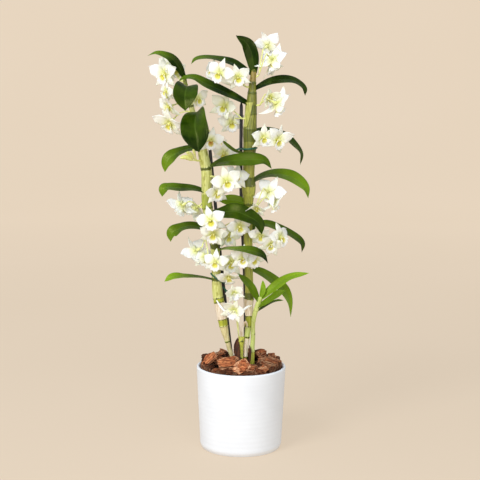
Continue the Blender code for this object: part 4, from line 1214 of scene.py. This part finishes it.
def stalk(points, radii, green):
    """A run for a stalk along the points, with its radii spread evenly over it."""
    thickness = spaced(STALK_STEPS, np.linspace(0, 1, len(radii)), radii) * MM
    numbers = {"thickness": thickness, "green": np.full(STALK_STEPS, green)}
    return smooth_path(points, STALK_STEPS), numbers


def peduncle(side, height, way):
    """Where the stalks of a bunch part, and the run of the stalk that leads there."""
    *middle, radius = stem_at(CANES[side], height)
    middle = np.array(middle)
    root = middle + unit(way) * (radius + PEDUNCLE_REACH)
    return root, stalk([middle, (middle + root) / 2, root], PEDUNCLE_RADII, green=0.9)


def remnant():
    """Dry strips that still stand on the cut end of the old cane."""
    span = np.linspace(-1, 1, 9)
    section = section_object("strip_section", span, 0.3 * span**2 + 0.1, 0.3 * span**2 - 0.1)
    widths = STRIP_HALF_WIDTH * spaced(STRIP_STEPS, [0, 0.4, 0.8, 1], [1, 0.8, 0.6, 0.2])
    runs = []
    for k, path in enumerate(REMNANT_STRIPS):
        line, numbers = blade_run(path, DRY_FRONT, DRY_FRONT, widths, STRIP_SWAY, k * 0.4)
        numbers.update(paper=np.ones(STRIP_STEPS), ripe=np.zeros(STRIP_STEPS))
        runs.append((line, numbers))
    strips = blade("strips", runs, section, cane_look)
    bpy.data.objects.remove(section)
    return strips


print("peduncles reach", PEDUNCLE_REACH, "mm out of their stem")


# %% Every spray
MOST_ROLL = 20  # degrees that a bloom may hang askew
# A stalk starts inside the ovary, runs straight on, bends and comes to the peduncle
STALK_RADIUS, STALK_INSIDE, STALK_BEYOND, STALK_FOOT = 0.85, 2.5, 0.8, (0.75, 0.9)
STALK_BEND, STALK_LIFT = 0.62, 2.0
# Blooms with an orange throat or half open, by spray and by their place in its list
CHOSEN_KINDS = {
    ("left_5", 0): 7, ("left_7", 1): 7, ("right_8", 0): 6, ("left_10", 0): 2, ("stub", 0): 8,
    ("stub", 1): 8, ("right_3", 0): 1, ("right_3", 1): 2,
}
# Withered white strands that hang from the bunch of the stub to the canes beside it
WITHERED = [
    [(-36, -10, 219), (-29, -16, 210), (-21, -22, 203), (-13, -25, 198)],
    [(-8, -25, 204), (0, -24, 206), (8, -19, 211), (14, -13, 212)],
]
WITHERED_RADII = (0.8, 1.8, 1.7, 0.9)


def turned_by(*turns):
    """One turn after another, each in degrees about its axis. The last is made first."""
    whole = Matrix.Identity(3)
    for degrees, axis in turns:
        whole = whole @ Matrix.Rotation(math.radians(degrees), 3, axis)
    return whole


count = 0
for title, (height, way, blooms) in SPRAYS.items():
    root, first = peduncle(title.split("_")[0], height, way)
    runs = [first]
    if title == "stub":
        runs.extend(stalk(strand, WITHERED_RADII, green=0.05) for strand in WITHERED)
    numbers = {"turned": [], "size": [], "kind": []}
    for k, (x, y, z, turn, tilt, size) in enumerate(blooms):
        roll = MOST_ROLL * math.sin(2.4 * count)
        facing = turned_by((turn, "Z"), (-tilt, "X"), (roll, "Y"))
        here = Vector((x, y, z))
        behind = here + facing @ Vector((0, STALK_START * size, 0))
        before = here + facing @ Vector((0, (STALK_START - STALK_INSIDE) * size, 0))
        beyond = np.array(behind + (behind - before) * STALK_BEYOND)
        bend = beyond * STALK_BEND + root * (1 - STALK_BEND) + np.array([0, 0, STALK_LIFT])
        radii = [STALK_RADIUS * size] * 3 + [*STALK_FOOT]
        runs.append(stalk([before, behind, beyond, bend, root], radii, green=0.8))
        numbers["turned"].append(tuple(facing.to_euler("XYZ")))
        numbers["size"].append(size)
        numbers["kind"].append(CHOSEN_KINDS.get((title, k), count % PLAIN_KINDS))
        count += 1
    bunch = mesh_object("bunch_points", [bloom[:3] for bloom in blooms], (), (), numbers)
    stalk_line = line_object("stalk_line", runs)
    settings = {"Kinds": bloom_kinds, "Stalks": stalk_line, "Material": petal_look}
    spray = grown(bunch, bunch_tree, "fine_spray_" + title, settings)
    bpy.data.objects.remove(stalk_line)
    if title == "stub":
        merge(spray, remnant())
    keep(spray, "spray_" + title, "petal")
clear(bloom_kinds)
print("blooms placed:", count)

# %% [markdown]
# ## Buds and the dry husk
#
# A bud is a bloom that is still closed: a swollen body with the seams of its sepals, on a short
# stalk. The husk is a dead sheath at the foot of the canes. It is a blade like a leaf, only
# with a deeper fold and a dull brown skin.

# %% Sweep the buds
# Girth and sag are shares of a bud's length. Its outline is shares of length, and of girth
BUD_STEPS, BUD_GIRTH, BUD_SAG, BUD_SEAMS = 22, 0.185, 0.12, 3
BUD_OUTLINE = [0, 0.15, 0.45, 0.8, 0.95, 1], [0.45, 0.8, 1, 0.72, 0.4, 0.12]
BUD_STALK_RADII = (0.8, 0.8, 1.2)

bud_look = speckled_look(
    "green bud", grains=(500,), share=(0.35, 0.7),
    colours=((234, 232, 150), (210, 212, 108)), relief=0.15, roughness=0.45,
)
side, height, way, buds = BUD_SPRAY
root, first = peduncle(side, height, way)
runs = [first]
for *tip, length in buds:
    heel = tip - unit(tip - root) * length
    runs.append(stalk([root, root * 0.4 + heel * 0.6, heel], BUD_STALK_RADII, green=0.9))
    halfway = (heel + tip) / 2 + np.array([0, 0, BUD_SAG * length])
    thickness = spaced(BUD_STEPS, *BUD_OUTLINE) * length * BUD_GIRTH * MM
    numbers = {"thickness": thickness, "green": np.full(BUD_STEPS, 0.6)}
    runs.append((smooth_path([heel, halfway, tip], BUD_STEPS), numbers))
keep(stem("fine_buds", runs, bud_look, 18, BUD_SEAMS, 0.06), "spray_left_6", "bud")

# %% Grow the husk
HUSK_STEPS, HUSK_HALF_WIDTH, HUSK_SWAY, SLIVER_SIZE, SLIVER_SWAY = 40, 4.5, 0.15, 0.45, 0.3
HUSK_OUTLINE = [0, 0.3, 0.7, 0.88, 1], [0.9, 1, 0.95, 0.6, 0.15]
SLIVER_PATH = [(10, -6, 118), (12, -7, 132), (13, -7, 143), (12, -6, 152)]

husk_look, tree = new_look("dry husk")
threads, stains = speckle(tree, 800, (1, 1, 0.06), 4.0), speckle(tree, 120)
brown = mixed(step(threads, 0.35, 0.7), (40, 18, 8), (112, 62, 26))
brown = mixed(step(stains, 0.5, 0.62), brown, (60, 28, 10))
paint(husk_look, Base_Color=brown, Normal=bumped(threads, 0.5), Roughness=0.75)
span = np.linspace(-1, 1, 21)
trough = 0.42 * span**2 + 0.05 * np.sin(span * 11)
husk_section = section_object("husk_section", span, trough + 0.08, trough - 0.08)
widths = HUSK_HALF_WIDTH * spaced(HUSK_STEPS, *HUSK_OUTLINE)
husk_run = blade_run(HUSK_PATH, DRY_FRONT, DRY_FRONT, widths, HUSK_SWAY)
sliver_run = blade_run(SLIVER_PATH, DRY_FRONT, DRY_FRONT, widths * SLIVER_SIZE, SLIVER_SWAY)
husk = blade("fine_husk", [husk_run, sliver_run], husk_section, husk_look)
keep(husk, "husk", "husk")
for section in (plain_section, heart_section, husk_section):
    bpy.data.objects.remove(section)

# %% [markdown]
# ## Bark
#
# These plants root in pieces of pine bark, not in soil. A piece of bark is a stack of thin
# layers that break back unevenly, with long fibres and torn ends. So each chip starts as a
# box skin cut small; every layer is drawn in by its own amount, the ends are torn along the
# fibres and the faces are ridged. The ones that show in front are placed one by one, others
# fill the rest of the mouth, and a tree scatters crumbs on the mound between them.

# %% One chip
CHIP_CUTS, FACETS = (34, 16, 7), 11


def box_skin(cuts):
    """The skin of a box from -1 to 1 each way, cut into small squares, with shared corners."""
    points, faces = [], []
    steps = [np.linspace(-1, 1, cut + 1) for cut in cuts]
    for axis in range(3):
        u, v = [k for k in range(3) if k != axis]
        for end in (-1, 1):
            start, columns = len(points), cuts[v] + 1
            flat = np.full(((cuts[u] + 1) * columns, 3), float(end))
            flat[:, u] = np.repeat(steps[u], columns)
            flat[:, v] = np.tile(steps[v], cuts[u] + 1)
            points.extend(flat.tolist())
            outward = (end > 0) == (axis != 1)
            for r in range(cuts[u]):
                for c in range(cuts[v]):
                    a = start + r * columns + c
                    loop = (a, a + columns, a + columns + 1, a + 1)
                    faces.append(loop if outward else loop[::-1])
    shared, inverse = np.unique(np.round(points, 6), axis=0, return_inverse=True)
    inverse = inverse.reshape(-1)
    return shared, [tuple(int(inverse[v]) for v in face) for face in faces]


def wander(rng, size, *ways):
    """Smooth made-up noise over any number of directions, from about -1 to 1."""
    total = 0
    for _ in range(5):
        wave = sum(rng.uniform(-size, size) * way for way in ways)
        total = total + np.sin(wave + rng.uniform(0, 2 * math.pi))
    return total / 3


def chip(half_sizes, rng, cuts=CHIP_CUTS):
    """One chip round the origin in mm, with how torn and pale its skin is at every point."""
    skin, faces = box_skin(cuts)
    x, y, z = skin.T
    cut = skin.copy()
    for _ in range(FACETS):
        plane = unit(rng.normal(size=3) * (1, 1, 0.45))
        beyond = np.maximum(cut @ plane - rng.uniform(0.5, 0.95), 0)
        cut -= beyond[:, None] * plane
    cx, cy, cz = cut.T
    layer = np.round((z + 1) / 2 * cuts[2]).astype(int)
    drawn_in = rng.uniform(0.0, 0.14, cuts[2] + 1)
    slid = rng.uniform(-0.07, 0.07, (2, cuts[2] + 1))
    ends = 1 - drawn_in[layer] - 0.13 * np.abs(wander(rng, 9, y, layer * 0.3))
    ends = ends - 0.1 * np.abs(wander(rng, 3, y))
    sides = 1 - drawn_in[layer] * 0.7 - 0.15 * np.abs(wander(rng, 3.2, x, layer * 0.15))
    sides = sides * (1 - 0.3 * np.abs(x) ** 3)
    fibres = wander(rng, 16, y, x * 0.12) * 0.09 + wander(rng, 5, y, x * 0.5) * 0.08
    bent = cz * (1 + fibres * (np.abs(z) > 0.99)) + 0.1 * wander(rng, 1.6, x, y)
    bent = bent + rng.uniform(-0.3, 0.3) * y**2
    points = np.column_stack([cx * ends + slid[0][layer], cy * sides + slid[1][layer], bent])
    edge = np.clip((np.maximum(np.abs(x), np.abs(y)) - 0.82) / 0.18, 0, 1) * (z > 0.4)
    torn = 0.7 * (np.abs(z) < 0.99) * rng.uniform(0, 1, cuts[2] + 1)[layer]
    return points * half_sizes, faces, np.maximum(edge, torn)


print("the skin of a chip has", len(box_skin(CHIP_CUTS)[1]), "faces")

# %% The chips that are placed one by one
# Middle in mm; half length, width and thickness; degrees it is turned about the vertical, its
# right end is raised, and its face leans to the viewer; and from 0 for dark to 1 for red brown
CHIPS = [
    ((-45, -15, 133), (15, 10.5, 4), 12, 44, 32, 0.85),
    ((-50, 8, 131), (13, 8, 3), -25, 18, 10, 0.15), ((-25, 10, 132), (8, 5, 3), 30, 10, 20, 0.1),
    ((-30, 7, 136), (6, 4, 2.6), -10, 30, 0, 0.6),
    ((-18, -33, 130), (22, 12.5, 5.5), -6, -4, 34, 0.85),
    ((-1, -30, 128), (9, 5, 3.5), 15, -18, 10, 0.5),
    ((-50, -30, 121), (13, 9, 4.5), 40, 8, 10, 0.3),
    ((-37, -44, 120), (15, 8, 4.5), 28, -4, 25, 0.35),
    ((-18, -52, 119), (17, 7, 4.5), 6, 3, 35, 0.2), ((3, -47, 127), (14, 11.5, 4), 6, -5, 58, 0.95),
    ((19, -43, 127), (7.5, 8, 4), -20, 12, 45, 0.5),
    ((30, -46, 127), (10, 4, 3), -14, 16, 25, 0.75),
    ((43, -25, 131), (19, 10.5, 5.5), -24, 6, 36, 0.5),
    ((30, 3, 138), (7.5, 6, 3.6), 20, 8, 25, 0.6), ((44, 3, 134), (6, 5, 3), -30, 10, 10, 0.4),
    ((47, -35, 121), (13, 8, 4.5), -42, 0, 20, 0.2),
    ((28, -51, 119), (13, 7, 4.5), -22, -4, 30, 0.3), ((8, -55, 118), (12, 5, 4), 4, 4, 25, 0.2),
    ((27, -22, 122), (10, 7, 4), 50, 14, 20, 0.1), ((-33, -12, 130), (11, 7, 4), -40, -8, 15, 0.45),
    ((0, 26, 133), (16, 9, 4.5), 10, 5, -15, 0.5), ((-24, 32, 130), (13, 9, 4.5), 55, -8, -15, 0.7),
    ((26, 30, 131), (15, 8, 4.5), -35, 8, -18, 0.35),
    ((-44, 26, 125), (12, 8, 4.5), -55, 10, -10, 0.25),
    ((46, 24, 126), (13, 8, 4.5), 55, -6, -10, 0.8), ((4, 48, 122), (15, 8, 4.5), 0, 4, -30, 0.6),
    ((-28, 47, 120), (12, 7, 4), 28, 0, -25, 0.3), ((30, 46, 120), (13, 7, 4), -30, 6, -25, 0.2),
    ((56, 0, 122), (11, 6, 4), 85, 4, 5, 0.5), ((-56, -8, 121), (11, 5, 4), 88, -4, 5, 0.4),
    ((-53, -20, 124), (8, 5, 4), 70, 6, 12, 0.3), ((55, -14, 123), (9, 5, 4), -72, 4, 10, 0.25),
    ((-54, 12, 123), (9, 5, 4), -75, 0, 0, 0.2), ((54, 14, 123), (9, 5, 4), 75, 0, 0, 0.3),
    ((-44, -34, 122), (8, 5, 4), 50, -5, 14, 0.15), ((52, -26, 121), (8, 5, 4), -60, 0, 14, 0.15),
]
CHIP_GROWTH = 1.36  # makes up for what the layers, the torn ends and the facets take away
MOUTH_RADIUS = 59.2  # all bark stays inside this, clear of the wall of the pot


def within_mouth(points):
    """Draws points in until they clear the wall of the pot."""
    away = np.maximum(np.hypot(points[:, 0], points[:, 1]), 1e-6)
    inward = np.minimum(1, MOUTH_RADIUS / away)
    return points * np.column_stack([inward, inward, np.ones(len(points))])


chip_rng = np.random.default_rng(5)
parts = []
for middle, half_sizes, yaw, rise, lean, tone in CHIPS:
    points, faces, edge = chip(np.array(half_sizes) * CHIP_GROWTH, chip_rng)
    turning = turned_by((lean, "X"), (yaw, "Z"), (-rise, "Y"))
    numbers = {"tone": tone, "rim": edge, "grain": points + chip_rng.uniform(-500, 500, 3)}
    parts.append((within_mouth(points @ np.array(turning).T + middle), faces, numbers))
chips = mesh_object("fine_bark", *together(parts))
print("chips", len(CHIPS), "with", len(chips.data.vertices), "points")

# %% The bark's material
bark_look, tree = new_look("bark")
tone, rim, grain = number(tree, "tone"), number(tree, "rim"), number(tree, "grain", "Vector")
fibres = noise(grain, (0.05, 0.9, 0.7), 1.0, 5.0)
spots = noise(grain, (1, 1, 1), 0.22, 4.0)
# The tone 0 ends of these colours are nearly black: the mound and the crumbs take them as painted
# shade in the gaps between the chips
dark, light = mixed(tone, (8, 3, 1), (138, 64, 34)), mixed(tone, (26, 10, 3), (228, 146, 94))
spot, torn = mixed(tone, (6, 2, 1), (58, 30, 16)), mixed(tone, (34, 14, 6), (244, 198, 154))
brown = mixed(step(fibres, 0.4, 0.62), dark, light)
brown = mixed(step(spots, 0.5, 0.66) * 0.75, brown, spot)
brown = mixed(rim * step(fibres, 0.42, 0.6) * 0.7, brown, torn)
paint(bark_look, Base_Color=brown, Normal=bumped(fibres + spots, 0.9), Roughness=0.85,
      Specular_IOR_Level=0.15)
chips.data.materials.append(bark_look)
print("the bark's material has", len(tree.nodes), "nodes")

# %% The mound under the chips
MOUND_FLOOR, MOUND_EDGE, MOUND_TOP, MOUND_RINGS, MOUND_SIDES = 98, 115, 124, 26, 96
LUMP_HEIGHT, LUMP_SIZES = 1.3, (0.35, 1.0)

# The mound starts from its top, so its faces are turned round below
rows = []
for k in range(MOUND_RINGS + 1):
    height = MOUND_TOP - (MOUND_TOP - MOUND_EDGE) * (k / MOUND_RINGS) ** 2
    rows.append((0, 0, height, MOUTH_RADIUS * k / MOUND_RINGS))
rows += [(0, 0, MOUND_FLOOR, MOUTH_RADIUS - 3), (0, 0, MOUND_FLOOR, 0)]
points, faces = lathe(rows, MOUND_SIDES)
lumps = sum(wander(chip_rng, size, points[:, 0], points[:, 1]) for size in LUMP_SIZES)
points[:, 2] += LUMP_HEIGHT * lumps * (points[:, 2] > MOUND_EDGE - 1)
# Painted shade: the mound takes tone 0, nearly black, so that the gaps between the chips look
# shaded
numbers = {"tone": np.zeros(len(points)), "grain": points}
mound = mesh_object("mound", points, [face[::-1] for face in faces], (), numbers)

print("the mound has", len(faces), "faces")

# %% Crumbs between the chips
CRUMB_SIZE, CRUMB_CUTS, CRUMB_KINDS, CRUMB_SHADE = (3.4, 2.2, 1.3), (4, 3, 2), 5, 0.08
CRUMB_SPACING, CRUMB_DENSITY = 4.2, 90000.0  # so dense that the spacing alone thins them out
LOOKS_UP = 0.3  # crumbs lie only where the mound looks up by more than this
CRUMB_TURNS = (-1.2, -1.2, 0), (1.2, 1.2, 6.3)  # least and most about each axis, in radians
CRUMB_GROWTH = 0.7, 1.5

crumbs = []
for k in range(CRUMB_KINDS):
    points, faces, edge = chip(CRUMB_SIZE, chip_rng, CRUMB_CUTS)
    # Painted shade: the crumbs take the darkest tones, from 0 up by CRUMB_SHADE for each kind, so
    # that the gaps between the chips look shaded
    numbers = {"tone": np.full(len(points), CRUMB_SHADE * k), "rim": edge, "grain": points + 60 * k}
    crumbs.append(mesh_object("crumb_kind_%d" % k, points, faces, (), numbers))
crumb_kinds = gather("crumb kinds", crumbs)

crumb_inputs = {"Kinds": "Collection", "Spacing": "Float", "Seed": "Int", "Material": "Material"}
crumb_tree, given = new_tree("crumbs", crumb_inputs)
seed = {"Seed": given["Seed"]}
up = node(crumb_tree, "GeometryNodeInputNormal")
up = node(crumb_tree, "ShaderNodeSeparateXYZ", {0: up})["Z"]
inputs = {"Mesh": given["Geometry"], "Selection": maths("GREATER_THAN", up, LOOKS_UP), **seed}
inputs.update({"Distance Min": given["Spacing"], "Density Max": CRUMB_DENSITY})
spread = node(crumb_tree, "GeometryNodeDistributePointsOnFaces", inputs,
              distribute_method="POISSON")
inputs = {**dict(enumerate(CRUMB_TURNS)), **seed}
tumble = node(crumb_tree, "FunctionNodeRandomValue", inputs, data_type="FLOAT_VECTOR")
inputs = {**dict(enumerate(CRUMB_GROWTH, 2)), **seed}
growth = node(crumb_tree, "FunctionNodeRandomValue", inputs, data_type="FLOAT")[1]
strewn = planted(crumb_tree, spread, given["Kinds"], tumble, growth)
both = node(crumb_tree, "GeometryNodeJoinGeometry", {0: [strewn, given["Geometry"]]})
end_tree(crumb_tree, both, given["Material"], smooth=False)
settings = {"Kinds": crumb_kinds, "Spacing": CRUMB_SPACING * MM, "Seed": 7, "Material": bark_look}
bed = grown(mound, crumb_tree, "crumbs", settings)
clear(crumb_kinds)
bed_points = within_mouth(np.array([v.co for v in bed.data.vertices]) / MM) * MM
bed.data.vertices.foreach_set("co", bed_points.astype(np.float32).ravel())
merge(chips, bed)
keep(chips, "bark_bed", "bark")

# %% [markdown]
# ## The studio
#
# The plant stands on a pale warm sweep of paper that has no corner behind it. One big soft
# lamp high on the left in front makes the shine on the leaves and the soft shadow on the
# right. A weaker and wider lamp beside the camera opens the shade among the blooms, and the
# surroundings fill the rest with even light.

# %% The backdrop
# How much of the paper's brightness doesn't depend on the lamps, and how much it takes from
# them, on the floor by the pot and on the far rise behind
FLOOR_GLOW, FLOOR_LIT = 0.71, 0.27
RISE_GLOW, RISE_LIT = 0.9, 0.16
FLOOR_ENDS, RISE_BEGINS = 0.4, 2.4  # metres behind the pot
SWEEP_BACK, SWEEP_ROUND, SWEEP_HEIGHT, SWEEP_FRONT, SWEEP_SIDE = 2600, 1500, 3200, -3000, 4000

sweep = [(SWEEP_FRONT, 0)]
for a in np.linspace(0, math.pi / 2, 24):
    rise = SWEEP_ROUND * (1 - math.cos(a))
    sweep.append((SWEEP_BACK + SWEEP_ROUND * math.sin(a), rise))
sweep.append((SWEEP_BACK + SWEEP_ROUND, SWEEP_HEIGHT))
points = [(x, y, z) for y, z in sweep for x in (-SWEEP_SIDE, SWEEP_SIDE)]
faces = [(2 * k, 2 * k + 1, 2 * k + 3, 2 * k + 2) for k in range(len(sweep) - 1)]
backdrop = mesh_object("backdrop", points, faces)
backdrop.data.shade_smooth()
paper_look, tree = new_look("paper sweep")
warm = mixed(speckle(tree, 1.5, detail=1.0), (228, 210, 187), (231, 213, 191))
place = node(tree, "ShaderNodeTexCoord")["Object"]
far = step(node(tree, "ShaderNodeSeparateXYZ", {0: place})["Y"], FLOOR_ENDS, RISE_BEGINS)
lit = [mixed(share, (0, 0, 0), warm) for share in (FLOOR_LIT, RISE_LIT)]
glow = [mixed(share, (0, 0, 0), warm) for share in (FLOOR_GLOW, RISE_GLOW)]
paint(paper_look, Base_Color=mixed(far, *lit), Emission_Color=mixed(far, *glow),
      Emission_Strength=1.0, Roughness=0.95, Specular_IOR_Level=0.0)
backdrop.data.materials.append(paper_look)
backdrop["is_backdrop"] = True
print("the sweep rises to", SWEEP_HEIGHT, "mm")

# %% Light
SKY, SKY_STRENGTH, LAMP_TINT = (0.84, 0.92, 1.0, 1), 0.63, (0.95, 0.97, 1.0)

scene.view_settings.view_transform = "Standard"
world = bpy.data.worlds.new("studio")
world.use_nodes = True
background = world.node_tree.nodes["Background"].inputs
background["Color"].default_value, background["Strength"].default_value = SKY, SKY_STRENGTH
scene.world = world


def lamp(name, place, aim, size, power):
    """A square soft lamp, with its place and its aim in metres."""
    light = bpy.data.lights.new(name, "AREA")
    light.size, light.energy, light.color = size, power, LAMP_TINT
    holder = bpy.data.objects.new(name, light)
    holder.location = place
    holder.rotation_euler = (Vector(aim) - Vector(place)).to_track_quat("-Z", "Y").to_euler()
    scene.collection.objects.link(holder)


lamp("key", (-1.4, -1.9, 2.0), (0, 0, 0.3), 1.1, 54)
lamp("fill", (0.3, -2.4, 1.1), (0, 0, 0.3), 1.8, 23)

print("surroundings", SKY_STRENGTH, "and lamps", [light.name for light in bpy.data.lights])

# %% Camera
# From a fit to the pot's rim, sides and foot on a photograph, at a chosen distance. The pitch
# was moved a little afterwards, by comparing pictures
CAMERA_PLACE = (-2.7, -1800, 577.3)
CAMERA_PITCH, CAMERA_ROLL, CAMERA_LENS = 81.416, 0.33, 94.9
camera_data = bpy.data.cameras.new("camera")
camera_data.lens, camera_data.sensor_width, camera_data.clip_end = CAMERA_LENS, 36, 100
camera = bpy.data.objects.new("camera", camera_data)
aimed = turned_by((CAMERA_PITCH, "X"), (CAMERA_ROLL, "Z")).to_4x4()
camera.matrix_world = Matrix.Translation(Vector(CAMERA_PLACE) * MM) @ aimed
scene.collection.objects.link(camera)
scene.camera = camera
print("camera looks down by", round(90 - CAMERA_PITCH, 2), "degrees")

# %% [markdown]
# ## Last measurements
#
# The finished pieces may differ a little from the plain ones they stand for, but the plant
# as a whole keeps its size. Both boxes are written down so that they can be compared.

# %% Print both boxes and finish
new_low, new_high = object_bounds()
boxes = {"cad": [list(cad_low), list(cad_high)], "visual": [list(new_low), list(new_high)]}
for title, (low, high) in boxes.items():
    print(title, "box in mm:", [round(v / MM, 1) for v in (*low, *high)])
